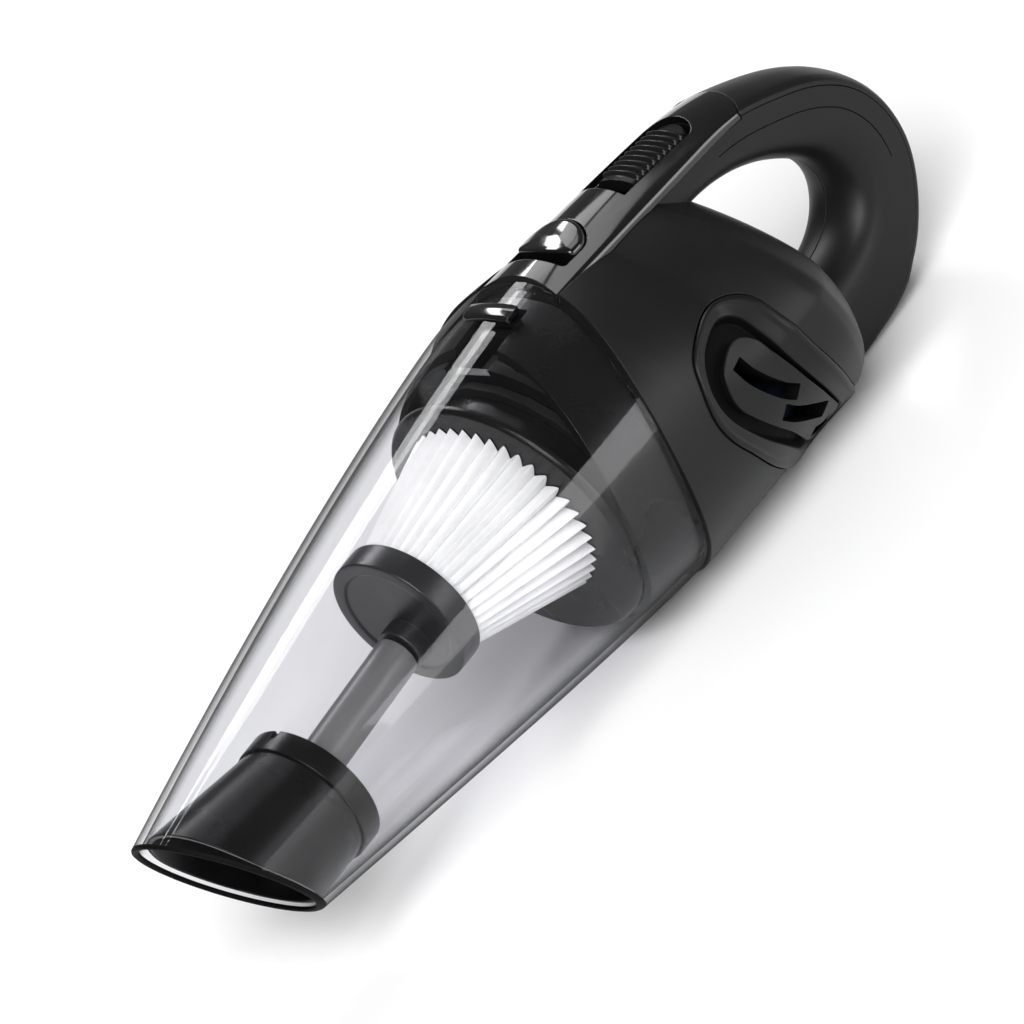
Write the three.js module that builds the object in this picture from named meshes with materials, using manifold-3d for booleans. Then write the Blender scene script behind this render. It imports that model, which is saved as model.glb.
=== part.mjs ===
// A cordless handheld vacuum cleaner: a clear dust cup in front, a motor body behind it and a loop
// handle at the back. Millimetres. X runs forward to the nozzle, Y to the user's left, Z up.
// The model is drawn about the cup's axis, with x = 0 at the joint between cup and body. At the end
// it is moved so that the origin is the middle of the bounding box's underside.

import * as THREE from "three";
import { mergeVertices } from "three/addons/utils/BufferGeometryUtils.js";
import { LoftGeometry } from "three/addons/geometries/LoftGeometry.js";
import Module from "manifold-3d";

const wasm = await Module();
wasm.setup();

// ---- driving dimensions ---------------------------------------------------------------------

const GAP = 0.3; // between pieces that touch
const WALL = 2.4; // of the housing
const FAR = 90; // past the side of the whole object

const BODY_RADIUS = 55; // of the motor body at the joint
const BODY_FLARE = 0.017; // growth of that radius for each millimetre backwards
const REST_LEVEL = -54.6; // the flat that the object lies on
const JOINT = { x: 8, z: -14, radius: 108 }; // the joint is part of a cylinder that lies across

const CUP_RADIUS = 54.4;
const CUP_WALL = 2.2;
const MOUTH_X = 192; // where the cup's axis meets the mouth
const MOUTH_LEAN = 0.54;
const MOUTH_RADIUS = 28.2;

const TAIL_X = -93.5; // the domed rear of the body, on the axis
const TAIL_LEAN = 0.22;
const TAIL_DOME = 90; // radius of the dome

const SPINE_TIP = { x: -94.5, radius: 20.5 }; // the glossy cover on top ends in this arc
const SPINE_THICK = 2.2;
const HANDLE_HALF_WIDTH = 15.5;
const BAND_DEPTH = 5.5; // of the band round the outside of the handle
const HANDLE_LINER = 8; // from the handle's outside to its hollow

const COLLAR_FRONT = 25; // the motor body's collar reaches this far into the cup
const FILTER = { back: 33.6, front: 80, rise: 5.2, radius: 34, pleats: 40, depth: 5 };
const CAP = { x: 79, rise: 9.3, radius: 24.2, length: 9.5, boss: 5.4 };
const CAP_BOSS = { radius: 7.9, rise: 2.2 };
const DUCT = { back: 153.4, rise: -5.2, radius: 22.6, wall: 1.8, setback: 5 };
const STEM = { radius: 7.2, rise: 2, tilt: 0.06, front: 160 };
const SHAFT_RADIUS = 1.5;
const CELL = { radius: 9.1, length: 65, back: -76 };
const CELL_PLACES = [[22, -30], [0, -38], [-22, -30]];
const SCREW_PLACES = [[-103, 31], [-128, 20], [-146, -8], [-112, -40.8]];
const PORT_LEVEL = -8; // height of the charging socket
const COLLAR_SEAT = 51.8; // radius of the housing's seat for the collar

// ---- materials ------------------------------------------------------------------------------

function plastic(color, roughness, extra = {}) {
  return new THREE.MeshStandardMaterial({ color, roughness, metalness: 0, ...extra });
}

function metal(color, roughness) {
  return new THREE.MeshStandardMaterial({ color, roughness, metalness: 1 });
}

const CLEAR = plastic(0xd8dadd, 0.05, { transparent: true, opacity: 0.3 });
const MATTE_BLACK = plastic(0x1d1d20, 0.5);
const GLOSS_BLACK = plastic(0x0d0d0f, 0.12);
const DUCT_BLACK = plastic(0x19191b, 0.35);
const SMOKE_GREY = plastic(0x56575a, 0.3);
const PAPER_WHITE = plastic(0xf2f2f0, 0.9);
const RUBBER = plastic(0x141414, 0.8);
const FAN_GREY = plastic(0x3a3c40, 0.4);
const BOARD_GREEN = plastic(0x1e5a3a, 0.5);
const CELL_WRAP = plastic(0x1c2836, 0.4);
const STEEL = metal(0xb8bbc0, 0.3);

// ---- from three.js geometry to solids and back ----------------------------------------------

function solid(geometry) {
  const bare = new THREE.BufferGeometry();
  bare.setAttribute("position", geometry.attributes.position);
  bare.setIndex(geometry.index);
  const merged = mergeVertices(bare, 1e-4);
  const mesh = new wasm.Mesh({
    numProp: 3,
    vertProperties: merged.attributes.position.array,
    triVerts: new Uint32Array(merged.index.array),
  });
  return new wasm.Manifold(mesh);
}

function surface(made) {
  const mesh = made.getMesh();
  const geometry = new THREE.BufferGeometry();
  geometry.setAttribute("position", new THREE.BufferAttribute(mesh.vertProperties, 3));
  geometry.setIndex(new THREE.BufferAttribute(mesh.triVerts, 1));
  geometry.computeVertexNormals();
  return geometry;
}

function joined(geometries) {
  return geometries.map(solid).reduce((sum, one) => sum.add(one));
}

function without(base, cutters) {
  return cutters.reduce((left, cutter) => left.subtract(cutter), base);
}

// A closed skin through a row of outlines that all have the same number of points.
function loft(sections) {
  const middle = (points) => points.reduce((sum, p) => sum.add(p), new THREE.Vector3());
  const first = sections[0];
  const along = middle(sections.at(-1)).sub(middle(first));
  const turn = new THREE.Vector3();
  first.forEach((p, i) => turn.add(p.clone().cross(first[(i + 1) % first.length])));
  const facing = turn.dot(along) > 0 ? sections : sections.map((points) => [...points].reverse());
  return new LoftGeometry(facing, { closed: true, capStart: true, capEnd: true });
}

// A shape turned about the X axis. The profile lists [x, radius] pairs, in either direction.
function turned(profile, segments = 24) {
  const points = profile.map(([x, radius]) => new THREE.Vector2(radius, x));
  const facing = THREE.ShapeUtils.area(points) > 0 ? points : points.reverse();
  return new THREE.LatheGeometry(facing, segments).rotateZ(-Math.PI / 2);
}

function ring(back, front, inner, outer, segments = 24) {
  const profile = [[back, inner], [back, outer], [front, outer], [front, inner], [back, inner]];
  return turned(profile, segments);
}

function disc(back, front, radius, segments = 24) {
  return turned([[front, 0], [front, radius], [back, radius], [back, 0]], segments);
}

function block(x0, x1, y0, y1, z0, z1) {
  const geometry = new THREE.BoxGeometry(x1 - x0, y1 - y0, z1 - z0);
  return geometry.translate((x0 + x1) / 2, (y0 + y1) / 2, (z0 + z1) / 2);
}

// A shape drawn in the XZ plane, given thickness along Y.
function slab(shape, y0, y1) {
  const settings = { depth: y1 - y0, bevelEnabled: false, curveSegments: 10 };
  return new THREE.ExtrudeGeometry(shape, settings).rotateX(Math.PI / 2).translate(0, y1, 0);
}

// A shape drawn in the XY plane, given thickness along Z.
function plate(shape, z0, z1) {
  const settings = { depth: z1 - z0, bevelEnabled: false, curveSegments: 10 };
  return new THREE.ExtrudeGeometry(shape, settings).translate(0, 0, z0);
}

// A cylinder across the object, along Y.
function crossPin(x, z, radius, y0, y1, segments = 12) {
  const pin = new THREE.CylinderGeometry(radius, radius, y1 - y0, segments);
  return pin.translate(x, (y0 + y1) / 2, z);
}

// Part of a ring about the X axis, centred on its top.
function sector(x0, x1, inner, outer, halfAngle) {
  const shape = new THREE.Shape();
  const top = Math.PI / 2;
  shape.absarc(0, 0, outer, top - halfAngle, top + halfAngle, false);
  shape.absarc(0, 0, inner, top + halfAngle, top - halfAngle, true);
  const settings = { depth: x1 - x0, bevelEnabled: false, curveSegments: 8 };
  const geometry = new THREE.ExtrudeGeometry(shape, settings);
  return geometry.rotateY(Math.PI / 2).rotateX(Math.PI / 2).translate(x0, 0, 0);
}

function smoothLoop(points, count) {
  const knots = points.map(([a, b]) => new THREE.Vector3(a, b, 0));
  const curve = new THREE.CatmullRomCurve3(knots, true, "centripetal");
  return curve.getPoints(count).slice(0, count).map((p) => [p.x, p.y]);
}

// A closed outline moved inwards by a distance, and outwards if that is negative.
function insetLoop(loop, distance) {
  const area = THREE.ShapeUtils.area(loop.map(([a, b]) => new THREE.Vector2(a, b)));
  const side = Math.sign(area) * distance;
  return loop.map(([a, b], i) => {
    const before = loop[(i + loop.length - 1) % loop.length];
    const after = loop[(i + 1) % loop.length];
    const along = new THREE.Vector2(after[0] - before[0], after[1] - before[1]).normalize();
    return [a - along.y * side, b + along.x * side];
  });
}

function shapeOf(loop) {
  return new THREE.Shape(loop.map(([a, b]) => new THREE.Vector2(a, b)));
}

// ---- the outer surfaces that several pieces share -------------------------------------------

// Height of the body's and handle's top line above the axis.
function crest(x) {
  return BODY_RADIUS + 0.4 - 0.00085 * x * x - 0.003 * Math.min(0, x + 90) ** 2;
}

// One outline of the body. Its top half is a superellipse that grows pointed towards the back.
function bodyOutline(x0, lean, grow, topGrow, scale = 1, count = 28) {
  const width = BODY_RADIUS - BODY_FLARE * x0 + grow;
  const height = crest(x0) + topGrow;
  const power = 2 / Math.min(2, Math.max(1.4, 2 + 0.017 * (x0 + 10)));
  return Array.from({ length: count }, (_, i) => {
    const angle = (2 * Math.PI * i) / count;
    const [c, s] = [Math.cos(angle), Math.sin(angle)];
    const raised = s > 0 ? height * s ** power : width * s;
    const y = width * (s > 0 ? Math.sign(c) * Math.abs(c) ** power : c) * scale;
    return new THREE.Vector3(x0 + lean * raised * scale, y, raised * scale);
  });
}

// What lies behind the joint. The gap moves the joint forward.
function behindJoint(gap) {
  const { x, z, radius } = JOINT;
  return solid(crossPin(x - radius, z, radius + gap, -FAR, FAR, 64));
}

// The body's form from in front of the joint to its domed rear, grown or shrunk by a distance.
function bodyForm(grow, topGrow = grow) {
  const sections = [
    bodyOutline(14, 0, grow, topGrow),
    bodyOutline(-20, 0, grow, topGrow),
    bodyOutline(-42, 0.1, grow, topGrow),
  ];
  const shoulder = [[-64, 1], [-71.5, 0.975], [-76.5, 0.915]];
  for (const [x, scale] of shoulder) {
    sections.push(bodyOutline(x - grow, TAIL_LEAN, grow, topGrow, scale));
  }
  for (const scale of [0.74, 0.45, 0.2]) {
    const drop = (BODY_RADIUS * scale) ** 2 / (2 * TAIL_DOME);
    sections.push(bodyOutline(TAIL_X + drop - grow, TAIL_LEAN, grow, topGrow, scale));
  }
  return solid(loft(sections));
}

// Outer and inner points of the handle in side view, from the body's top round to its bottom.
const HANDLE_OUTER = [
  [-36, crest(-36)], [-60, crest(-60)], [-85, crest(-85)], [-108, crest(-108)], [-127, 36.6],
  [-143, 27.2], [-154, 15.5], [-159.5, 2], [-160, -12], [-156, -24.5], [-147.5, -37],
  [-136.5, -46.5], [-121, -53.5], [-78, -58],
];
const HANDLE_INNER = [
  [-36, 25.5], [-58, 27], [-79, 27.5], [-95, 24], [-109, 17.5], [-120, 9.5], [-127, 2.5],
  [-130, -5], [-129.5, -12], [-125, -18.5], [-118, -22.5], [-108, -24.5], [-97, -24.5], [-78, -24.5],
];
const GRIP_STEPS = 18;
const BAND_START = 3 / 13; // along those curves, where the spine cover ends
const BAND_END = 11.6 / 13;

function handleCurve(points) {
  const knots = points.map(([x, z]) => new THREE.Vector3(x, 0, z));
  return new THREE.CatmullRomCurve3(knots, false, "catmullrom", 0.5);
}

const outerCurve = handleCurve(HANDLE_OUTER);
const innerCurve = handleCurve(HANDLE_INNER);

// A skin along the handle. The outline function gets the handle's thickness at a place, and returns
// points of depth below the handle's outside and distance from its middle plane.
function handleForm(from, to, steps, outline) {
  const sections = [];
  for (let i = 0; i <= steps; i += 1) {
    const t = from + ((to - from) * i) / steps;
    const outside = outerCurve.getPoint(t);
    const inward = innerCurve.getPoint(t).sub(outside);
    const thickness = inward.length();
    inward.normalize();
    const place = ([depth, y]) => outside.clone().addScaledVector(inward, depth).setY(y);
    sections.push(outline(thickness).map(place));
  }
  return solid(loft(sections));
}

function mirroredOutline(half) {
  const back = half.slice(1, -1).reverse().map(([depth, y]) => [depth, -y]);
  return [...half, ...back];
}

// The grip's cross-section: a flat outer band with chamfered edges, and a round inner side.
function gripOutline(thickness) {
  const w = HANDLE_HALF_WIDTH;
  const round = [[0.5, 1], [0.72, 0.93], [0.88, 0.72], [0.97, 0.4], [1, 0]];
  const band = [[0, 0], [0.8, 0.46 * w], [2.2, 0.76 * w], [3.4, 0.93 * w], [BAND_DEPTH + GAP, w]];
  const inside = round.map(([share, side]) => [thickness * share, w * side]);
  return mirroredOutline([...band, ...inside]);
}

function hollowOutline(thickness) {
  const w = HANDLE_HALF_WIDTH - WALL;
  const floor = thickness - WALL;
  const middle = (HANDLE_LINER + floor) / 2;
  return mirroredOutline([
    [HANDLE_LINER, 0], [HANDLE_LINER, w], [middle, w], [floor - 1.5, 0.7 * w], [floor, 0],
  ]);
}

function bandZone(extra) {
  const reach = BAND_DEPTH + extra;
  const outline = () => mirroredOutline([[-8, 0], [-8, 20], [reach, 20], [reach, 0]]);
  return handleForm(BAND_START - extra / 400, BAND_END + extra / 400, 14, outline);
}

// The clear cup's outside radius at a distance from the joint.
function cupRadius(x) {
  const share = Math.max(x, 0) / MOUTH_X;
  return CUP_RADIUS - (CUP_RADIUS - MOUTH_RADIUS) * share ** 1.25;
}

// The cup's middle line is bowed up a little.
function cupRise(x) {
  return 1.5 * Math.sin((0.7 * Math.PI * Math.max(x, 0)) / MOUTH_X);
}

// An outline that lies on the cup's surface and in a leaning plane.
function cupOutline(x0, lean, inset, count = 32) {
  return Array.from({ length: count }, (_, i) => {
    const angle = (2 * Math.PI * i) / count;
    let z = 0;
    for (let step = 0; step < 12; step += 1) {
      z = cupRise(x0 + lean * z) + (cupRadius(x0 + lean * z) - inset) * Math.sin(angle);
    }
    const x = x0 + lean * z;
    return new THREE.Vector3(x, (cupRadius(x) - inset) * Math.cos(angle), z);
  });
}

function cupForm(inset, stretch = 0) {
  const stations = [
    [-16 - stretch, 0], [8, 0], [34, 0], [66, 0.05], [106, 0.18], [148, 0.34],
    [MOUTH_X + stretch, MOUTH_LEAN],
  ];
  return solid(loft(stations.map(([x, lean]) => cupOutline(x, lean, inset))));
}

// ---- the spine cover ------------------------------------------------------------------------

function spineHalfWidth(x) {
  return 19.3 + 0.039 * x + 0.00001 * x * x;
}

const SPINE_RUN = 124; // long enough for the arc at the end

// What lies above the cover's plan: straight in front, with a round rear end.
function spinePlan(extra) {
  const shape = new THREE.Shape();
  const radius = SPINE_TIP.radius + extra;
  shape.moveTo(30, -radius);
  shape.lineTo(30, radius);
  shape.absarc(SPINE_TIP.x, 0, radius, Math.PI / 2, (3 * Math.PI) / 2, false);
  shape.closePath();
  return solid(plate(shape, 20, 80));
}

// The cover's section: its edges lie on the body, and its middle is crowned.
function spineForm(extra, top, thick = SPINE_THICK) {
  const sections = [];
  for (let i = 0; i <= 8; i += 1) {
    const x = 4 - (SPINE_RUN * i) / 8;
    const w = spineHalfWidth(x) + extra;
    const drop = 3.6 + 3.2 * Math.sin((-Math.PI * x) / 118);
    const arc = [-1, -0.67, -0.33, 0, 0.33, 0.67, 1];
    const skin = (share, offset) => {
      const z = crest(x) - drop * share * share + offset;
      return new THREE.Vector3(x, w * share, z);
    };
    const upper = arc.map((share) => skin(share, top));
    const lower = [...arc].reverse().map((share) => skin(share, -thick - extra));
    sections.push([...upper, ...lower]);
  }
  return solid(loft(sections)).intersect(spinePlan(extra));
}

// Plan of the release button: flat in front and round behind.
function buttonPlan(grow, ahead = grow) {
  const shape = new THREE.Shape();
  const [front, shoulder, half] = [-30.2 + ahead, -34, 12.6 + grow];
  shape.moveTo(front, -half);
  shape.lineTo(front, half);
  shape.lineTo(shoulder, half);
  shape.absellipse(shoulder, 0, 10 + grow, half, Math.PI / 2, (3 * Math.PI) / 2, false);
  shape.closePath();
  return shape;
}

// Plan of the switch's slot: square in front and round behind.
function slotPlan(front, back, half) {
  const shape = new THREE.Shape();
  shape.moveTo(front, -half);
  shape.lineTo(front, half);
  shape.absellipse(back + half * 0.7, 0, half * 0.7, half, Math.PI / 2, (3 * Math.PI) / 2, false);
  shape.closePath();
  return shape;
}

const BUTTON_POCKET = solid(plate(buttonPlan(0.6, 5.1), 40, 70));
const SWITCH_POCKET = solid(plate(slotPlan(-60, -98.5, 10.4), 36.5, 70));

function spineCover() {
  const strip = spineForm(0, 0).intersect(behindJoint(-GAP / 2));
  return without(strip, [BUTTON_POCKET, SWITCH_POCKET]);
}

// The button's crown stands proud of the spine. Its arm reaches forward to the cup's catch.
function releaseButton() {
  const crown = bodyForm(1.5);
  const key = solid(plate(buttonPlan(0), 44, 70)).intersect(crown);
  const arm = solid(block(-39, 2.2, -6.5, 6.5, 40.4, 44.4));
  const tooth = solid(block(-1, 2.2, -6.5, 6.5, 44, 48.4));
  return key.add(arm).add(tooth);
}

const SPRING_X = -35;

function releaseSpring() {
  const [turns, radius, low, high] = [4.5, 3.4, 34.6, 39.7];
  const points = [];
  for (let i = 0; i <= turns * 10; i += 1) {
    const angle = (2 * Math.PI * i) / 10;
    const z = low + ((high - low) * i) / (turns * 10);
    points.push(new THREE.Vector3(radius * Math.cos(angle), radius * Math.sin(angle), z));
  }
  const wire = new THREE.Shape();
  wire.absarc(0, 0, 0.35, 0, 2 * Math.PI, false);
  const path = new THREE.CatmullRomCurve3(points);
  const settings = { steps: 40, curveSegments: 2, bevelEnabled: false, extrudePath: path };
  return new THREE.ExtrudeGeometry(wire, settings).translate(SPRING_X, 0, 0);
}

// A fixed bridge under the release arm, which the spring stands on.
function latchGuide() {
  const bridge = [block(-46, -24, -12, 12, 31.5, 33.8)];
  for (const side of [-1, 1]) {
    bridge.push(block(-46, -24, side * 11 - 1, side * 11 + 1, 33, 40));
  }
  return joined(bridge);
}

// The switch's finger piece: a crowned slider with ribs across it and a peg under it.
function powerSwitch() {
  const [front, back] = [-66.5, -96.5];
  const skin = new THREE.Shape();
  const level = (x) => crest(x) - 1.4;
  skin.moveTo(front, level(front) - 5);
  skin.lineTo(front, level(front));
  const ribs = 9;
  const pitch = (front - back - 6) / ribs;
  for (let i = 0; i < ribs; i += 1) {
    const x = front - 2 - i * pitch;
    skin.lineTo(x, level(x));
    skin.lineTo(x - 0.3 * pitch, level(x) + 1.3);
    skin.lineTo(x - 0.6 * pitch, level(x) + 1.3);
    skin.lineTo(x - 0.9 * pitch, level(x));
  }
  skin.lineTo(back, level(back));
  skin.lineTo(back, level(back) - 5);
  skin.closePath();
  const width = solid(plate(slotPlan(front + 1, back, 8.4), 30, 70));
  const crown = spineForm(0, 0.2, 12);
  const peg = solid(block(-85, -81, -2, 2, 38.4, 44));
  return solid(slab(skin, -9, 9)).intersect(width).intersect(crown).add(peg);
}

function switchUnit() {
  return joined([block(-95, -80.5, -4, 4, 32, 36.4), block(-88, -84.5, -2, 2, 36, 38.1)]);
}

// ---- the vent on each side ------------------------------------------------------------------

const VENT_LOOP = smoothLoop([
  [-35, 23.1], [-46.9, 21.2], [-53.5, 15.5], [-55.2, 6], [-58, -7], [-63, -20.5], [-70, -35.5],
  [-77, -46.5], [-74, -51], [-62, -51.8], [-48, -49.5], [-37, -42.5], [-27, -31.6], [-19.5, -19.5],
  [-13.6, -8], [-12.2, 2], [-15.5, 12], [-21.5, 19.5],
], 28);

// The recessed channel lies between these two outlines, inside the vent's raised rim.
const TRENCH_LOOP = smoothLoop([
  [-34.4, 19.1], [-41, 18.3], [-45, 14.5], [-46.2, 7], [-47.6, -2], [-51.2, -13], [-56.5, -25],
  [-63, -36.8], [-70, -47], [-68, -50.2], [-58, -50.5], [-47.5, -44.6], [-35.4, -31], [-27.1, -20.2],
  [-21, -10], [-17.8, -2.5], [-17.2, 4.5], [-19.6, 11.3], [-25.5, 16.8],
], 24);
const ISLAND_LOOP = smoothLoop([
  [-34.6, 12.6], [-39.5, 11.7], [-43.2, 7.5], [-44.5, 1], [-47.7, -8.1], [-52.3, -19.4], [-60, -33.8],
  [-67.5, -45], [-66, -48], [-58, -48.3], [-49.2, -42.4], [-38.7, -28.1], [-32.5, -20], [-26.4, -10.6],
  [-23.1, -4], [-22.7, 2], [-25.1, 7.8], [-29.2, 11],
], 20);

// The three exhaust slots, each a bent bar drawn by its middle line, with half its width.
const VENT_SLOTS = [
  [[[-31.6, 7.8], [-32.8, 1.5], [-36.2, -5.4], [-40.8, -12.2], [-45.7, -17.4]], 2.6],
  [[[-37.4, -18.2], [-42.4, -23.8], [-49.4, -29.5], [-56.8, -35.2]], 2.6],
  [[[-51.4, -40.4], [-56, -43], [-61.5, -44.8]], 1.7],
];

function slotShape(line, half) {
  const curve = new THREE.SplineCurve(line.map(([x, z]) => new THREE.Vector2(x, z)));
  const side = (sign) => curve.getPoints(4).map((p, i) => {
    const along = curve.getTangent(i / 4);
    return new THREE.Vector2(p.x - sign * half * along.y, p.y + sign * half * along.x);
  });
  return new THREE.Shape([...side(1), ...side(-1).reverse()]);
}

function ventGrille() {
  const outline = solid(slab(shapeOf(insetLoop(VENT_LOOP, GAP)), 15, FAR));
  const shell = bodyForm(1.1).subtract(bodyForm(-3.4));
  const island = solid(slab(shapeOf(ISLAND_LOOP), 0, FAR));
  const trench = solid(slab(shapeOf(TRENCH_LOOP), 0, FAR));
  const cuts = [
    trench.subtract(bodyForm(-0.3)),
    trench.subtract(island).subtract(bodyForm(-1.6)),
    ...VENT_SLOTS.map(([line, half]) => solid(slab(slotShape(line, half), 0, FAR))),
  ];
  return without(outline.intersect(shell), cuts);
}

// ---- the housing ----------------------------------------------------------------------------

function bossAt([x, z], side) {
  const [y0, y1] = side > 0 ? [GAP / 2, HANDLE_HALF_WIDTH - 1] : [1 - HANDLE_HALF_WIDTH, -GAP / 2];
  return solid(crossPin(x, z, 3.6, y0, y1));
}

function housingHalf(side) {
  const grip = handleForm(0, 1, GRIP_STEPS, gripOutline).subtract(bandZone(GAP));
  const outside = bodyForm(0).intersect(behindJoint(-GAP / 2)).add(grip);
  const hollow = bodyForm(-WALL, -5.2);
  const inside = hollow.add(handleForm(0.02, 0.97, 10, hollowOutline));
  const half = side > 0 ? block(-200, 20, GAP / 2, FAR, REST_LEVEL, FAR)
    : block(-200, 20, -FAR, -GAP / 2, REST_LEVEL, FAR);
  const window = slab(shapeOf(VENT_LOOP), 15, FAR);
  const ventWindow = side > 0 ? solid(window) : solid(window).mirror([0, 1, 0]);
  const shell = without(outside.subtract(inside).intersect(solid(half)), [
    spineForm(GAP, 12), BUTTON_POCKET, SWITCH_POCKET, ventWindow,
    tailBore(), solid(disc(-12.5, 20, COLLAR_SEAT, 32)),
  ]);
  const bossed = SCREW_PLACES.reduce((sum, place) => sum.add(bossAt(place, side)), shell);
  const bores = SCREW_PLACES.flatMap(([x, z]) => {
    const through = solid(crossPin(x, z, 1.7, side > 0 ? 0 : -FAR, side > 0 ? 11.2 : 0));
    const head = solid(crossPin(x, z, 3.1, -FAR, 4 - HANDLE_HALF_WIDTH));
    return side > 0 ? [through] : [through, head];
  });
  return without(bossed, bores);
}

// A round hole through the domed rear, along X, for the charging socket.
function tailBore() {
  return solid(disc(-103, -80, 4 + GAP, 16).translate(0, 0, PORT_LEVEL));
}

function chargePort() {
  const socket = joined([ring(-91.5, -81.5, 2.6, 4, 16), ring(-82, -77, 1.2, 5.4, 16)]);
  return socket.translate(0, 0, PORT_LEVEL);
}

function screwAt([x, z]) {
  return joined([
    crossPin(x, z, 2.7, -HANDLE_HALF_WIDTH + 2, -HANDLE_HALF_WIDTH + 3.7),
    crossPin(x, z, 1.35, -HANDLE_HALF_WIDTH + 3, 10.5, 12),
  ]);
}

// The band along the outside of the handle. It is cut flat where the handle meets the resting level.
function handleBand() {
  const above = solid(block(-200, 20, -FAR, FAR, REST_LEVEL, FAR));
  const heads = SCREW_PLACES.map(([x, z]) => solid(crossPin(x, z, 4.2, -FAR, 0)));
  const band = handleForm(0, 1, GRIP_STEPS, gripOutline).intersect(bandZone(0)).intersect(above);
  return without(band.subtract(spineForm(GAP, 12)), heads);
}

// ---- the motor body's inside ----------------------------------------------------------------

// The collar that the cup slides over. Its wall carries the air inlet, and its top has a notch for
// the cup's catch.
function frontCollar() {
  const tube = (inset, extra) => solid(loft([
    cupOutline(-12 - extra, 0, inset), cupOutline(8, 0, inset), cupOutline(COLLAR_FRONT + 12, 0, inset),
  ]));
  const shell = tube(CUP_WALL + 0.7, 0).subtract(tube(CUP_WALL + 3, 1));
  const { x, z, radius } = JOINT;
  const front = solid(crossPin(x + COLLAR_FRONT - 2 - radius, z, radius, -FAR, FAR, 48));
  const wall = solid(ring(14, 17, 30, 49.3, 32));
  return shell.intersect(front).add(wall).subtract(solid(block(-7.5, 40, -9.8, 9.8, 46, 60)));
}

function intakeGuard() {
  const bars = [ring(10.4, 13.7, 27.5, 33), ring(10.4, 13.7, 12, 14)];
  for (let i = 0; i < 6; i += 1) {
    const bar = block(11, 13, 13, 28.5, -1.1, 1.1);
    bars.push(bar.rotateX((i * Math.PI) / 3));
  }
  return joined(bars);
}

function fanShroud() {
  return turned([
    [9.8, 13], [9.8, 37], [-9, 37], [-9, 34.7], [7.6, 34.7], [7.6, 13], [9.8, 13],
  ]);
}

function fanImpeller() {
  const pieces = [disc(-5.6, -4, 33), ring(-5, 6, 1.8, 6)];
  const blades = 7;
  for (let i = 0; i < blades; i += 1) {
    const blade = new THREE.Shape();
    const arc = new THREE.QuadraticBezierCurve(
      new THREE.Vector2(5.5, 0), new THREE.Vector2(19.5, 3), new THREE.Vector2(29.5, 13));
    const line = arc.getPoints(3);
    line.forEach((p, k) => (k ? blade.lineTo(p.x, p.y) : blade.moveTo(p.x, p.y)));
    line.reverse().forEach((p) => blade.lineTo(p.x - 0.4, p.y + 1.3));
    const piece = new THREE.ExtrudeGeometry(blade, { depth: 9.5, bevelEnabled: false });
    pieces.push(piece.rotateY(Math.PI / 2).translate(-4.5, 0, 0).rotateX((i * 2 * Math.PI) / blades));
  }
  return joined(pieces).subtract(solid(disc(-10, 20, SHAFT_RADIUS + GAP, 16)));
}

function motorCan() {
  return turned([
    [-11, 1.9], [-11, 6], [-12, 6], [-12, 15], [-14, 16.4], [-50, 16.4], [-52, 15], [-52, 5],
    [-54, 5], [-54, 1.9], [-50, 1.9], [-50, 13.5], [-15, 13.5], [-15, 1.9], [-11, 1.9],
  ], 20);
}

function motorShaft() {
  return turned([
    [6.5, 0], [6.5, SHAFT_RADIUS], [-20, SHAFT_RADIUS], [-20, 11], [-44, 11], [-44, SHAFT_RADIUS],
    [-53, SHAFT_RADIUS], [-53, 0],
  ], 16);
}

function motorBracket() {
  const arms = [ring(-15, -10, 16.8, 20), ring(-15, -13, 19, 36)];
  const cell = disc(-20, 0, CELL.radius + 2 * GAP, 16);
  const cells = CELL_PLACES.map(([y, z]) => solid(cell.clone().translate(0, y, z)));
  return without(joined(arms), cells);
}

function batteryCell([y, z]) {
  const [front, r] = [CELL.back + CELL.length, CELL.radius];
  const profile = [
    [front, 0], [front, 3], [front - 1.2, 3], [front - 1.2, r - 0.6], [front - 1.8, r],
    [CELL.back + 0.6, r], [CELL.back, r - 0.6], [CELL.back, 0],
  ];
  return turned(profile, 16).translate(0, y, z);
}

// A bulkhead that holds the cells and the motor's middle.
function batteryBracket(x) {
  const board = solid(disc(x - 1.3, x + 1.3, 49.5, 32));
  const cell = disc(x - 5, x + 5, CELL.radius + GAP, 16);
  const holes = CELL_PLACES.map(([y, z]) => solid(cell.clone().translate(0, y, z)));
  const motor = solid(disc(x - 5, x + 5, 16.8, 20));
  const top = solid(block(x - 5, x + 5, -FAR, FAR, 8, FAR));
  const sides = [-1, 1].map((side) => {
    const [y0, y1] = [side * 54 - 14, side * 54 + 14];
    return solid(block(x - 5, x + 5, y0, y1, -FAR, FAR));
  });
  return without(board, [...holes, motor, top, ...sides]);
}

function circuitBoard() {
  const parts = [
    block(-64, -16, -13, 13, 23.5, 25.1), block(-28, -20, -6, 6, 24.8, 29),
    block(-50, -44, 3, 9, 24.8, 28.4), block(-52, -42, -9, -3, 24.8, 27),
  ];
  return joined(parts);
}

// ---- the cup and what is in it --------------------------------------------------------------

function dustCup() {
  const slot = solid(sector(-4.6, -1.2, 45, 60, 0.175));
  return without(cupForm(0), [cupForm(CUP_WALL, 4), behindJoint(GAP / 2), slot]);
}

function cupCatch() {
  const peg = sector(-4.2, -1.6, 49, 55, 0.165);
  const tab = sector(-5.6, 1.4, 54.7, 56.1, 0.19);
  return joined([peg, tab]);
}

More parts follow.
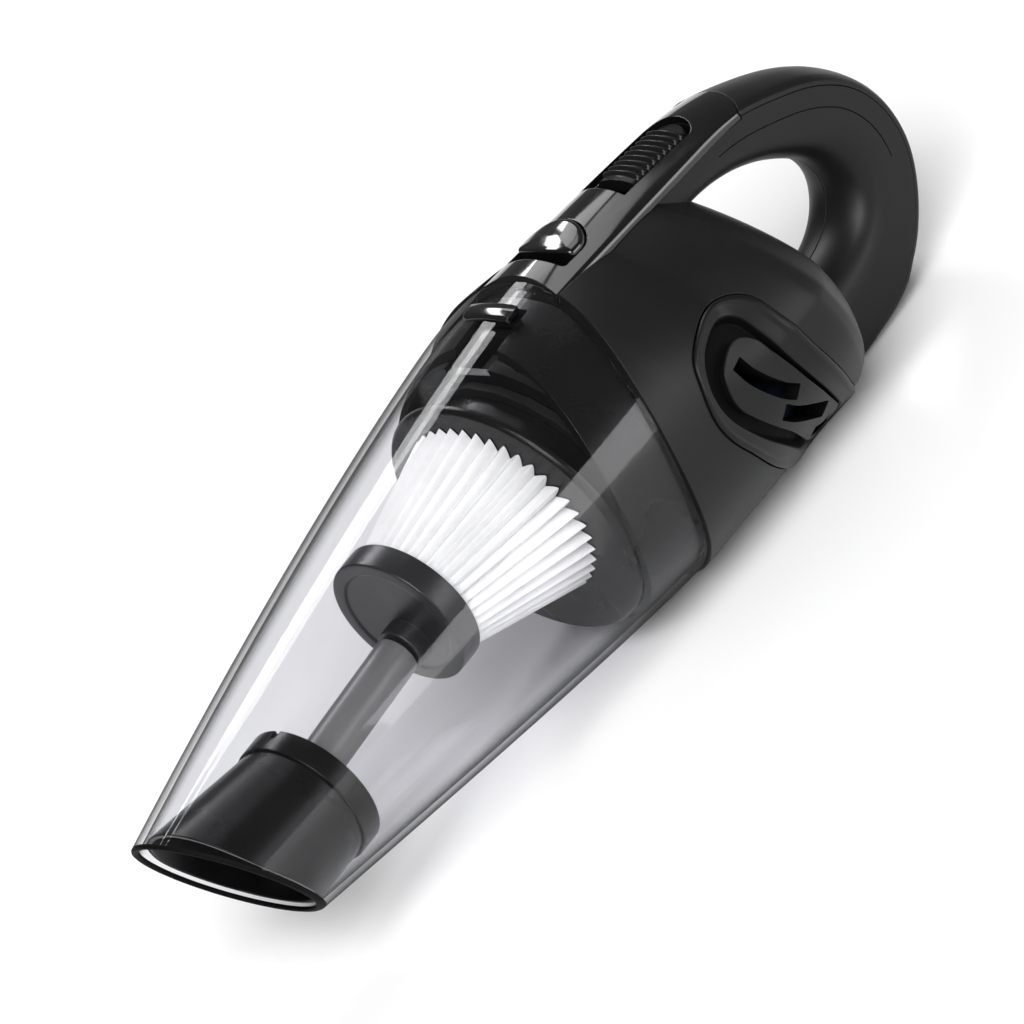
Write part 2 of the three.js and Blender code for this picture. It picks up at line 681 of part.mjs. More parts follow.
function ductOutline(share, inset, count = 30) {
  const mouth = cupOutline(MOUTH_X - 3, MOUTH_LEAN, CUP_WALL + GAP + inset, count);
  return mouth.map((p, i) => {
    p.x -= DUCT.setback * Math.max(0, p.z / MOUTH_RADIUS) ** 2;
    const angle = (2 * Math.PI * i) / count;
    const r = DUCT.radius - inset;
    const back = new THREE.Vector3(DUCT.back, r * Math.cos(angle), DUCT.rise + r * Math.sin(angle));
    return back.lerp(p, share);
  });
}

function inletDuct() {
  const skin = (inset, past) => solid(loft([
    ductOutline(-past, inset), ductOutline(1 + past, inset),
  ]));
  return skin(0, 0).subtract(skin(DUCT.wall, 0.05));
}

// The duct's rear collar, with a key notch at its top.
function ductCollar() {
  const rim = solid(ring(DUCT.back - 7.6, DUCT.back - GAP, DUCT.radius - 2, DUCT.radius + 1));
  const notch = solid(block(DUCT.back - 9, DUCT.back - 4.5, -1.2, 1.2, 18, 30));
  return rim.subtract(notch).translate(0, 0, DUCT.rise);
}

function pleatOutline(x, radius, rise, depth) {
  const count = 2 * FILTER.pleats;
  return Array.from({ length: count }, (_, i) => {
    const angle = (2 * Math.PI * i) / count;
    const r = radius - (i % 2 ? depth : 0);
    return new THREE.Vector3(x, r * Math.cos(angle), rise + r * Math.sin(angle));
  });
}

function filterPleats() {
  const outside = loft([
    pleatOutline(FILTER.back, FILTER.radius, FILTER.rise, FILTER.depth),
    pleatOutline(FILTER.front, 21.6, CAP.rise, 1.6),
  ]);
  const core = (x, r, rise) => pleatOutline(x, r, rise, 0).filter((_, i) => i % 4 === 0);
  const inside = loft([
    core(FILTER.back - 1, FILTER.radius - FILTER.depth - 2.2, FILTER.rise),
    core(FILTER.front + 1, 17.4, CAP.rise),
  ]);
  return solid(outside).subtract(solid(inside));
}

// A cage inside the pleats, with long windows.
function filterCore() {
  const round = (x, r, rise) => Array.from({ length: 24 }, (_, i) => {
    const angle = (Math.PI * i) / 12;
    return new THREE.Vector3(x, r * Math.cos(angle), rise + r * Math.sin(angle));
  });
  const tube = (inset, past) => solid(loft([
    round(FILTER.back - past, 25.6 - inset, FILTER.rise),
    round(FILTER.front - 1 + past, 16.4 - inset, CAP.rise),
  ]));
  const windows = [0, 1, 2, 3].map((i) => {
    const bar = block(FILTER.back + 6, FILTER.front - 7, -40, 40, -4.5, 4.5);
    return solid(bar.rotateX((i * Math.PI) / 4 + Math.PI / 8).translate(0, 0, 7));
  });
  return without(tube(0, 0).subtract(tube(1.6, 1)), windows);
}

// The filter's plate, with a skirt that plugs into the collar.
function filterBase() {
  const profile = [
    [33.3, 27], [33.3, 45], [32, 46], [30.3, 46], [30.3, 40.5], [20.5, 40.5], [20.5, 38], [29.6, 38],
    [29.6, 27], [33.3, 27],
  ];
  return turned(profile, 28);
}

function filterSeal() {
  return ring(17.3, 20.2, 35, 43.5);
}

function filterCap() {
  const { x, radius, length, rise } = CAP;
  const profile = [
    [x + length, 0], [x + length, radius - 1], [x + length - 1, radius], [x, radius], [x, radius - 1.8],
    [x + 1.6, radius - 1.8], [x + 1.6, 0],
  ];
  const socket = disc(x + length - 1, x + length + CAP.boss, CAP_BOSS.radius);
  return joined([turned(profile, 28).translate(0, 0, rise), socket.translate(0, 0, CAP_BOSS.rise)]);
}

function filterStem() {
  const { radius, front, rise, tilt } = STEM;
  const back = CAP.x + CAP.length + CAP.boss + 2 * GAP;
  const profile = [
    [front, 0], [front, radius - 0.8], [front - 0.8, radius], [back, radius], [back, radius - 1.8],
    [front - 2, radius - 1.8], [front - 2, 0],
  ].map(([x, r]) => [x - back, r]);
  return turned(profile).rotateY(tilt).translate(back + radius * tilt, 0, rise);
}

// ---- the object -----------------------------------------------------------------------------

const group = new THREE.Group();

function add(name, shape, material) {
  const geometry = shape.isBufferGeometry ? shape : surface(shape);
  const mesh = new THREE.Mesh(geometry, material);
  mesh.name = name;
  group.add(mesh);
}

add("dust_cup", dustCup(), CLEAR);
add("cup_catch", cupCatch(), GLOSS_BLACK);
add("inlet_duct", inletDuct(), DUCT_BLACK);
add("duct_collar", ductCollar(), RUBBER);
add("filter_base", filterBase(), DUCT_BLACK);
add("filter_seal", filterSeal(), RUBBER);
add("filter_pleats", filterPleats(), PAPER_WHITE);
add("filter_core", filterCore(), DUCT_BLACK);
add("filter_cap", filterCap(), DUCT_BLACK);
add("filter_stem", filterStem(), SMOKE_GREY);
add("housing_left", housingHalf(1), MATTE_BLACK);
add("housing_right", housingHalf(-1), MATTE_BLACK);
add("front_collar", frontCollar(), DUCT_BLACK);
add("spine_cover", spineCover(), GLOSS_BLACK);
add("handle_band", handleBand(), MATTE_BLACK);
add("power_switch", powerSwitch(), MATTE_BLACK);
add("switch_unit", switchUnit(), FAN_GREY);
add("release_button", releaseButton(), GLOSS_BLACK);
add("release_spring", releaseSpring(), STEEL);
add("latch_guide", latchGuide(), FAN_GREY);
add("vent_grille_left", ventGrille(), MATTE_BLACK);
add("vent_grille_right", ventGrille().mirror([0, 1, 0]), MATTE_BLACK);
add("intake_guard", intakeGuard(), FAN_GREY);
add("fan_shroud", fanShroud(), FAN_GREY);
add("fan_impeller", fanImpeller(), FAN_GREY);
add("motor_shaft", motorShaft(), STEEL);
add("motor_can", motorCan(), STEEL);
add("motor_bracket", motorBracket(), FAN_GREY);
CELL_PLACES.forEach((place, i) => add(`battery_cell_${i + 1}`, batteryCell(place), CELL_WRAP));
add("battery_bracket_front", batteryBracket(-28), FAN_GREY);
add("battery_bracket_rear", batteryBracket(-60), FAN_GREY);
add("circuit_board", circuitBoard(), BOARD_GREEN);
add("charge_port", chargePort(), RUBBER);
SCREW_PLACES.forEach((place, i) => add(`screw_${i + 1}`, screwAt(place), STEEL));

const box = new THREE.Box3().setFromObject(group);
group.position.set(-(box.min.x + box.max.x) / 2, 0, -box.min.z);

export default group;
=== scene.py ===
"""Looks of the handheld vacuum cleaner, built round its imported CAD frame.

Shapes are drawn in millimetres in the same drawing frame as the CAD: x = 0 near the joint between
cup and body, x forward, y to the user's left, z = 0 on the cup's axis. place() moves them into the
row frame, in metres.
"""

import math

import bmesh
import bpy
import numpy as np
from mathutils import Matrix, Vector
from mathutils.bvhtree import BVHTree

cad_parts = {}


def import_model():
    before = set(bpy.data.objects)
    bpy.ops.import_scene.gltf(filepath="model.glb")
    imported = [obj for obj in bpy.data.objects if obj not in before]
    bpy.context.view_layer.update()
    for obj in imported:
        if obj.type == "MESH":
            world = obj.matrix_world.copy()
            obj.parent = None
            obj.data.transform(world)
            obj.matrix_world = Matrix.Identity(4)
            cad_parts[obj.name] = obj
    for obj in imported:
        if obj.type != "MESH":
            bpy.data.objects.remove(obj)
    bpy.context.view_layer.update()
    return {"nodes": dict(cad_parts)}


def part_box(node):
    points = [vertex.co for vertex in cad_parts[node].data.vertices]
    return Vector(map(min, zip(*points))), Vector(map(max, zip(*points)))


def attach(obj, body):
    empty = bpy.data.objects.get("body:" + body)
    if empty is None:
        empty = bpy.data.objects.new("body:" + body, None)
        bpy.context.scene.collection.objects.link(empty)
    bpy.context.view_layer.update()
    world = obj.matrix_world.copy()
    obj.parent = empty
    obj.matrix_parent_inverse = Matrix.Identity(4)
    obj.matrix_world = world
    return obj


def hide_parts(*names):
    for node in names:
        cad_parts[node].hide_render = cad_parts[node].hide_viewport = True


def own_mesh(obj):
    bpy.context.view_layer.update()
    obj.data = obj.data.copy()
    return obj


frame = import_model()

MM = 0.001
BOARD_BACK, BOARD_LOW = -64, 23.5  # where the CAD draws the circuit board's rear lower edge
board_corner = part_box("circuit_board")[0]

# from the drawing frame to the row frame, in millimetres
SHIFT = np.array([board_corner[0] / MM - BOARD_BACK, 0, board_corner[2] / MM - BOARD_LOW])

# ---- driving dimensions, in millimetres ----

GAP = 0.3
FAR = 90  # beyond everything, for cutters
BODY_RADIUS, BODY_FLARE = 55, 0.017
CREST_RISE, CREST_FALL, TAIL_FALL, TAIL_FALL_X = 0.4, 0.00085, 0.003, -90
REST_LEVEL = -54.6
JOINT_X, JOINT_Z, JOINT_RADIUS = 8, -14, 108
CUP_RADIUS, CUP_WALL, CUP_TAPER = 54.4, 2.2, 1.25
CUP_RISE, CUP_RISE_TURN = 1.5, 0.7
MOUTH_X, MOUTH_LEAN, MOUTH_RADIUS = 192, 0.54, 28.2
TAIL_X, TAIL_LEAN, TAIL_DOME = -93.5, 0.22, 90
SPINE_TIP_X, SPINE_TIP_RADIUS = -94.5, 20.5
SPINE_FRONT, SPINE_RUN = 4, 124
BUTTON_FRONT, BUTTON_SHOULDER, BUTTON_HALF, BUTTON_ROUND, BUTTON_CORNER = -30.2, -34, 12.6, 10, 1.6
BUTTON_CROWN, BUTTON_TRAVEL = 1.5, 3
POCKET_GAP, POCKET_AHEAD = 0.6, 5.1  # the button's pocket: round it, and open in front of it
SWITCH_FRONT, SWITCH_BACK, SWITCH_HALF, SWITCH_RIBS = -66.5, -96.5, 8.4, 9
SLOT_FRONT, SLOT_BACK, SLOT_HALF, SLOT_ROUND = -60, -98.5, 10.4, 0.7
HANDLE_HALF_WIDTH, BAND_DEPTH, HANDLE_LENGTH = 15.5, 5.5, 400
FILTER_BACK, FILTER_FRONT, FILTER_RISE = 33.6, 80, 5.2
FILTER_RADIUS, FILTER_TIP_RADIUS = 34, 21.6
FILTER_BORE, FILTER_TIP_BORE = 26.8, 17.4
PLEATS, PLEAT_DEPTH, PLEAT_TIP_DEPTH = 40, 5, 2.4
CAP_X, CAP_RISE, CAP_RADIUS, CAP_LENGTH = 79, 9.3, 24.2, 9.5
BOSS_LENGTH, BOSS_RADIUS, BOSS_RISE = 5.4, 7.9, 2.2
DUCT_BACK, DUCT_RISE, DUCT_RADIUS, DUCT_WALL, DUCT_SETBACK = 153.4, -5.2, 22.6, 1.8, 5
STEM_RADIUS, STEM_RISE, STEM_TILT, STEM_FRONT = 7.2, 2.0, 0.06, 160
SCREW_PLACES = [(-103, 31), (-128, 20), (-146, -8), (-112, -40.8)]
SCREW_RECESS, SCREW_RECESS_DEPTH = 3.1, 3.7
SPRING_X, SPRING_RADIUS, SPRING_WIRE, SPRING_TURNS = -35, 3.4, 0.35, 4.5
SPRING_LOW, SPRING_HIGH = 34.6, 39.7
PORT_LEVEL = -8
COLLAR_SEAT = 51.8
COLLAR_FRONT = 25

# ---- meshes, booleans and shading ----


def new_object(name, verts, faces):
    """An object from points and faces, with equal points joined and its faces turned outwards."""
    mesh = bpy.data.meshes.new(name)
    mesh.from_pydata([tuple(map(float, v)) for v in verts], [], faces)
    bm = bmesh.new()
    bm.from_mesh(mesh)
    bmesh.ops.remove_doubles(bm, verts=bm.verts, dist=1e-4)
    bmesh.ops.recalc_face_normals(bm, faces=bm.faces)
    bm.to_mesh(mesh)
    bm.free()
    obj = bpy.data.objects.new(name, mesh)
    bpy.context.collection.objects.link(obj)
    return obj


def loft(name, sections, looped=False, closed=True):
    """A skin through outlines with equal numbers of points, with its ends filled. Looped joins the
    last to the first instead. The outlines are closed ones, unless closed is false."""
    count, rows = len(sections[0]), len(sections)
    faces = []
    for i in range(rows if looped else rows - 1):
        a, b = i * count, ((i + 1) % rows) * count
        for j in range(count if closed else count - 1):
            k = (j + 1) % count
            faces.append((a + j, a + k, b + k, b + j))
    if not looped:
        faces.append(tuple(range(count)))
        faces.append(tuple(range((rows - 1) * count, rows * count)))
    return new_object(name, np.concatenate([np.asarray(s, float) for s in sections]), faces)


def prism(name, loop, low, high, across):
    """A flat outline given thickness: along Y if across is "y", otherwise along Z."""
    order = (lambda a, b, c: (a, c, b)) if across == "y" else (lambda a, b, c: (a, b, c))
    ends = [[order(a, b, level) for a, b in loop] for level in (low, high)]
    return loft(name, ends)


def box(name, x0, x1, y0, y1, z0, z1):
    return prism(name, [(x0, y0), (x1, y0), (x1, y1), (x0, y1)], z0, z1, "z")


def lathe(name, profile, segments=96, centre=(0, 0), closed=True):
    """A profile of (x, radius) pairs turned about a line along X through centre (y, z)."""
    rows = []
    for i in range(segments):
        angle = 2 * math.pi * i / segments
        c, s = math.cos(angle), math.sin(angle)
        rows.append([(x, centre[0] + r * c, centre[1] + r * s) for x, r in profile])
    return loft(name, rows, looped=True, closed=closed)


def rounded(profile, radius, steps=4):
    """A closed profile with its corners rounded, by up to radius."""
    pts = [np.array(p, float) for p in profile]
    out = []
    for i, p in enumerate(pts):
        to_before, to_after = pts[i - 1] - p, pts[(i + 1) % len(pts)] - p
        la, lb = np.linalg.norm(to_before), np.linalg.norm(to_after)
        if la < 1e-6 or lb < 1e-6:
            continue
        r = min(radius, 0.45 * la, 0.45 * lb)
        start, end = p + to_before / la * r, p + to_after / lb * r
        for k in range(steps + 1):
            t = k / steps
            out.append((1 - t) ** 2 * start + 2 * t * (1 - t) * p + t * t * end)
    return [tuple(q) for q in out]


def combine(base, operation, tools):
    """Applies a boolean of the base with each tool. The tools are used up."""
    for tool in tools:
        cut = base.modifiers.new("cut", "BOOLEAN")
        cut.operation, cut.object, cut.solver = operation, tool, "MANIFOLD"
    bpy.context.view_layer.update()
    graph = bpy.context.evaluated_depsgraph_get()
    mesh = bpy.data.meshes.new_from_object(base.evaluated_get(graph))
    base.modifiers.clear()
    base.data = mesh
    for tool in tools:
        bpy.data.objects.remove(tool)
    return base


def minus(base, *tools):
    return combine(base, "DIFFERENCE", tools)


def common(base, *tools):
    return combine(base, "INTERSECT", tools)


def plus(base, *tools):
    return combine(base, "UNION", tools)


def twin(obj, name="twin"):
    other = bpy.data.objects.new(name, obj.data.copy())
    bpy.context.collection.objects.link(other)
    return other


def mirrored(obj, name):
    """A copy on the other side of the XZ plane."""
    other = twin(obj, name)
    other.data.transform(Matrix.Diagonal((1, -1, 1, 1)))
    other.data.flip_normals()
    return other


class Skin:
    """A smooth surface that later cuts take their shading from, and that can be probed."""

    def __init__(self, obj):
        mesh = obj.data
        mesh.calc_loop_triangles()
        self.points = [v.co.copy() for v in mesh.vertices]
        self.normals = [v.normal.copy() for v in mesh.vertices]
        self.triangles = [tuple(t.vertices) for t in mesh.loop_triangles]
        self.tree = BVHTree.FromPolygons(self.points, self.triangles)

    def blend(self, where, index):
        """The normal at a place on a triangle, blended from its corners."""
        a, b, c = (self.points[i] for i in self.triangles[index])
        na, nb, nc = (self.normals[i] for i in self.triangles[index])
        ab, ac, ap = b - a, c - a, where - a
        d = ab.cross(ac)
        size = d.length_squared
        if size < 1e-12:
            return na
        v = ap.cross(ac).dot(d) / size
        w = ab.cross(ap).dot(d) / size
        return (na * (1 - v - w) + nb * v + nc * w).normalized()

    def normal_near(self, point, reach):
        """The normal at the nearest place on the skin, or None if that is out of reach."""
        where, _, index, _ = self.tree.find_nearest(point, reach)
        return None if where is None else self.blend(where, index)

    def from_left(self, x, z):
        """The place on the skin at x, z as seen from the left, and its normal."""
        where, _, index, _ = self.tree.ray_cast(Vector((x, 200, z)), Vector((0, -1, 0)))
        return where, self.blend(where, index)


SAME_WAY = 0.9  # how well a face has to agree with a skin's normal to take it


def shade(obj, skins=(), sharp=32, reach=0.04):
    """Smooth shading with sharp edges. Faces that lie on a skin take that skin's normals."""
    mesh = obj.data
    bm = bmesh.new()
    bm.from_mesh(mesh)
    bmesh.ops.remove_doubles(bm, verts=bm.verts, dist=2e-4)
    bmesh.ops.dissolve_degenerate(bm, edges=bm.edges, dist=1e-4)
    limit = math.radians(sharp)
    for face in bm.faces:
        face.smooth = True
    for edge in bm.edges:
        faces = edge.link_faces
        edge.smooth = len(faces) == 2 and faces[0].normal.angle(faces[1].normal, 0) < limit
    bm.to_mesh(mesh)
    bm.free()
    if not skins:
        return obj
    hits = []
    for vertex in mesh.vertices:
        found = [skin.normal_near(vertex.co, reach) for skin in skins]
        hits.append([normal for normal in found if normal is not None])
    custom = [(0.0, 0.0, 0.0)] * len(mesh.loops)
    for face in mesh.polygons:
        for loop in face.loop_indices:
            for normal in hits[mesh.loops[loop].vertex_index]:
                if normal.dot(face.normal) > SAME_WAY:
                    custom[loop] = tuple(normal)
                    break
    mesh.normals_split_custom_set(custom)
    return obj


def place(obj, name, body, node, material):
    """Puts a finished piece into the row frame, hangs it on its body, and hides the CAD node it
    replaces.
    """
    matrix = Matrix.Diagonal((MM, MM, MM, 1)) @ Matrix.Translation(Vector(SHIFT))
    obj.data.transform(matrix)
    obj.name = obj.data.name = name
    obj.data.materials.clear()
    obj.data.materials.append(material)
    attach(obj, body)
    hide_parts(node)


def give_look(obj, material, faces):
    """Gives some faces of a placed piece a second material."""
    obj.data.materials.append(material)
    for index in faces:
        obj.data.polygons[index].material_index = 1


# ---- curves ----


def catmull(points, count, closed=False):
    """Points along a uniform Catmull-Rom curve."""
    pts = np.array(points, float)
    n = len(pts)
    out = []
    spans = n if closed else n - 1
    for step in range(count if closed else count + 1):
        place_at = spans * step / count
        i = min(int(place_at), spans - 1)
        t = place_at - i
        if closed:
            p0, p1, p2, p3 = (pts[(i + k) % n] for k in (-1, 0, 1, 2))
        else:
            p1, p2 = pts[i], pts[i + 1]
            p0 = pts[i - 1] if i > 0 else 2 * p1 - p2
            p3 = pts[i + 2] if i + 2 < n else 2 * p2 - p1
        m1, m2 = (p2 - p0) / 2, (p3 - p1) / 2
        t2, t3 = t * t, t * t * t
        out.append((2 * t3 - 3 * t2 + 1) * p1 + (t3 - 2 * t2 + t) * m1
                   + (3 * t2 - 2 * t3) * p2 + (t3 - t2) * m2)
    return np.array(out)


def between(a, b, share):
    """The number a share of the way from a to b."""
    return a + (b - a) * share


def circle(x, z, radius, count):
    turns = [2 * math.pi * i / count for i in range(count)]
    return [(x + radius * math.cos(a), z + radius * math.sin(a)) for a in turns]


def rear_arc(x, reach, half, steps=48):
    """Half an ellipse round the rear end of a plan, from its left side to its right."""
    turns = [math.pi / 2 + math.pi * i / steps for i in range(steps + 1)]
    return [(x + reach * math.cos(a), half * math.sin(a)) for a in turns]


def inset(loop, distance):
    """A closed outline moved inwards by a distance, outwards if negative."""
    pts = np.array(loop, float)
    nxt = np.roll(pts, -1, axis=0)
    area = 0.5 * np.sum(pts[:, 0] * nxt[:, 1] - nxt[:, 0] * pts[:, 1])
    along = nxt - np.roll(pts, 1, axis=0)
    along /= np.linalg.norm(along, axis=1)[:, None]
    side = math.copysign(distance, area)
    return pts + side * np.stack([-along[:, 1], along[:, 0]], axis=1)


# ---- the outer surfaces ----


def crest(x):
    """The height of the top line, which falls away faster towards the handle."""
    return BODY_RADIUS + CREST_RISE - CREST_FALL * x * x - TAIL_FALL * min(0, x - TAIL_FALL_X) ** 2


def body_outline(x0, lean, grow, top_grow, scale, count=176):
    """A section of the body: round below, and more peaked above the further back it is."""
    width = BODY_RADIUS - BODY_FLARE * x0 + grow
    height = crest(x0) + top_grow
    power = 2 / min(2, max(1.4, 2 + 0.017 * (x0 + 10)))
    out = []
    for i in range(count):
        angle = 2 * math.pi * i / count
        c, s = math.cos(angle), math.sin(angle)
        if s > 0:
            raised = height * s ** power
            y = width * math.copysign(abs(c) ** power, c) * scale
        else:
            raised, y = width * s, width * c * scale
        out.append((x0 + lean * raised * scale, y, raised * scale))
    return out


def behind_joint(gap):
    """All that lies behind the curved joint between body and cup."""
    loop = circle(JOINT_X - JOINT_RADIUS, JOINT_Z, JOINT_RADIUS + gap, 360)
    return prism("behind", loop, -FAR, FAR, "y")


# the body's sections: where on the axis, how far they lean, and their scale
BODY_STATIONS = [
    (14, 0, 1), (-3, 0, 1), (-20, 0, 1), (-42, 0.1, 1), (-64, TAIL_LEAN, 1),
    (-71.5, TAIL_LEAN, 0.975), (-76.5, TAIL_LEAN, 0.915),
]
DOME_SCALES = (0.74, 0.45, 0.2, 0.02)
REAR_HALF_X = -60  # sections behind this move back when the body is grown


def body_form(grow, top_grow=None):
    """The motor body, from in front of the joint to its domed rear."""
    top_grow = grow if top_grow is None else top_grow
    knots = list(BODY_STATIONS)
    for scale in DOME_SCALES:
        drop = (BODY_RADIUS * scale) ** 2 / (2 * TAIL_DOME)
        knots.append((TAIL_X + drop, TAIL_LEAN, scale))
    sections = []
    for x, lean, scale in catmull(knots, 110):
        shift = grow if x < REAR_HALF_X else 0
        sections.append(body_outline(x - shift, lean, grow, top_grow, scale))
    return loft("body", sections)


HANDLE_OUTER = [
    (-36, crest(-36)), (-60, crest(-60)), (-85, crest(-85)), (-108, crest(-108)), (-127, 36.6),
    (-143, 27.2), (-154, 15.5), (-159.5, 2), (-160, -12), (-156, -24.5), (-147.5, -37),
    (-136.5, -46.5), (-121, -53.5), (-78, -58),
]
HANDLE_INNER = [
    (-36, 25.5), (-58, 27), (-79, 27.5), (-95, 24), (-109, 17.5), (-120, 9.5), (-127, 2.5),
    (-130, -5), (-129.5, -12), (-125, -18.5), (-118, -22.5), (-108, -24.5), (-97, -24.5),
    (-78, -24.5),
]
HANDLE_SPANS = len(HANDLE_OUTER) - 1
HANDLE_STEPS = HANDLE_SPANS * 12
BAND_START, BAND_END = 3 / HANDLE_SPANS, 11.6 / HANDLE_SPANS
GROOVE_START, GROOVE_END = 2.6 / HANDLE_SPANS, 8.2 / HANDLE_SPANS
outer_curve = catmull(HANDLE_OUTER, HANDLE_STEPS)
inner_curve = catmull(HANDLE_INNER, HANDLE_STEPS)


def handle_form(name, start, end, outline):
    """A skin along the handle. Outline gives (depth below the outside, y) for a thickness."""
    sections = []
    first, last = round(start * HANDLE_STEPS), round(end * HANDLE_STEPS)
    for i in range(first, last + 1):
        outside, inward = outer_curve[i], inner_curve[i] - outer_curve[i]
        thickness = float(np.linalg.norm(inward))
        inward = inward / thickness
        section = []
        for depth, y in outline(thickness):
            at = outside + inward * depth
            section.append((at[0], y, at[1]))
        sections.append(section)
    return loft(name, sections)


def both_sides(half):
    """Half an outline joined to its mirror image."""
    return list(half) + [(depth, -y) for depth, y in reversed(half[1:-1])]


def grip_outline(thickness):
    """A crowned outer band between two creases, then flat sides and a round inner side."""
    w = HANDLE_HALF_WIDTH
    band = catmull([(0, 0), (0.25, 0.26 * w), (1, 0.54 * w), (2.1, 0.8 * w), (3.2, 0.93 * w)], 16)
    edge = catmull([(3.2, 0.93 * w), (3.9, 0.975 * w), (5, 0.995 * w), (7, w)], 6)[1:]
    shares = [(0.5, 1), (0.62, 0.98), (0.74, 0.915), (0.86, 0.76), (0.94, 0.53), (0.985, 0.27)]
    shares.append((1, 0))
    side = [(thickness * share, w * across) for share, across in shares]
    inner = catmull([(7, w)] + side, 28)[1:]
    return both_sides([tuple(p) for p in [*band, *edge, *inner]])


def band_zone(extra):
    """The space of the handle's outer band, longer and deeper by an extra."""
    above, beside, reach = -8, 20, BAND_DEPTH + extra
    step = round(extra / HANDLE_LENGTH * HANDLE_STEPS) / HANDLE_STEPS
    half = [(above, 0), (above, beside), (reach, beside), (reach, 0)]
    return handle_form("zone", BAND_START - step, BAND_END + step, lambda thickness: both_sides(half))


def parting_groove(side):
    """A fine line on the handle's side, some way in from the band."""
    depth, width, cut, over = 12.4, 0.45, 0.7, 3
    low, high = side * (HANDLE_HALF_WIDTH - cut), side * (HANDLE_HALF_WIDTH + over)
    loop = [(depth, low), (depth, high), (depth + width, high), (depth + width, low)]
    return handle_form("groove", GROOVE_START, GROOVE_END, lambda thickness: loop)


def cup_radius(x):
    share = max(x, 0) / MOUTH_X
    return CUP_RADIUS - (CUP_RADIUS - MOUTH_RADIUS) * share ** CUP_TAPER


def cup_rise(x):
    return CUP_RISE * math.sin(CUP_RISE_TURN * math.pi * max(x, 0) / MOUTH_X)


def cup_outline(x0, lean, inward, count=200):
    """A leaning section of the cup. Each point's x and z depend on each other, so they settle."""
    out = []
    for i in range(count):
        angle = 2 * math.pi * i / count
        z = 0
        for _ in range(14):
            x = x0 + lean * z
            z = cup_rise(x) + (cup_radius(x) - inward) * math.sin(angle)
        x = x0 + lean * z
        out.append((x, (cup_radius(x) - inward) * math.cos(angle), z))
    return out


CUP_STATIONS = [(-16, 0), (8, 0), (34, 0), (66, 0.05), (106, 0.18), (148, 0.34)]
CUP_STATIONS.append((MOUTH_X, MOUTH_LEAN))


def spine_half_width(x):
    return 19.3 + 0.039 * x + 0.00001 * x * x


def spine_drop(x):
    """How far the spine's sides lie below its middle."""
    return 3.6 + 3.2 * math.sin(-math.pi * x / 118)


def spine_form(extra, top, thick=2.2, soft=0.0):
    """The cover on top: its sides lie on the body and its middle is crowned. It is grown sideways
    and down by extra, raised by top, and its edges are rounded off by soft."""
    rows = 72
    sections = []
    for i in range(rows + 1):
        x = SPINE_FRONT - SPINE_RUN * i / rows
        w = spine_half_width(x) + extra
        drop = spine_drop(x)
        upper, lower = [], []
        for share in np.linspace(-1, 1, 49):
            z = crest(x) - drop * share * share
            edge = max(0.0, abs(share) * w - (w - soft)) / soft if soft else 0.0
            round_off = soft * (1 - math.sqrt(max(0.0, 1 - edge * edge)))
            upper.append((x, w * share, z + top - round_off))
            lower.append((x, w * share, z - thick - extra))
        sections.append(upper + lower[::-1])
    made = loft("spine", sections)
    radius = SPINE_TIP_RADIUS + extra
    plan = [(30, -radius), (30, radius)] + rear_arc(SPINE_TIP_X, radius, radius, 64)
    return common(made, prism("plan", plan, 20, 80, "z"))


def button_plan(grow, ahead=None):
    """Straight in front and round behind. It can grow by a different amount ahead."""
    front = BUTTON_FRONT + (grow if ahead is None else ahead)
    shoulder, half, corner = BUTTON_SHOULDER, BUTTON_HALF + grow, BUTTON_CORNER
    plan = [(shoulder, -half)]
    for centre_y, start in ((-half + corner, -math.pi / 2), (half - corner, 0)):
        for i in range(7):
            a = start + (math.pi / 2) * i / 6
            plan.append((front - corner + corner * math.cos(a), centre_y + corner * math.sin(a)))
    plan += rear_arc(shoulder, BUTTON_ROUND + grow, half)
    return plan[:-1]


def slot_plan(front, back, half):
    """Square in front and round behind."""
    reach = half * SLOT_ROUND
    return [(front, -half), (front, half)] + rear_arc(back + reach, reach, half)


def button_pocket():
    return prism("pocket", button_plan(POCKET_GAP, POCKET_AHEAD), 40, 70, "z")


def switch_pocket():
    return prism("slot", slot_plan(SLOT_FRONT, SLOT_BACK, SLOT_HALF), 36.5, 70, "z")


# ---- materials ----


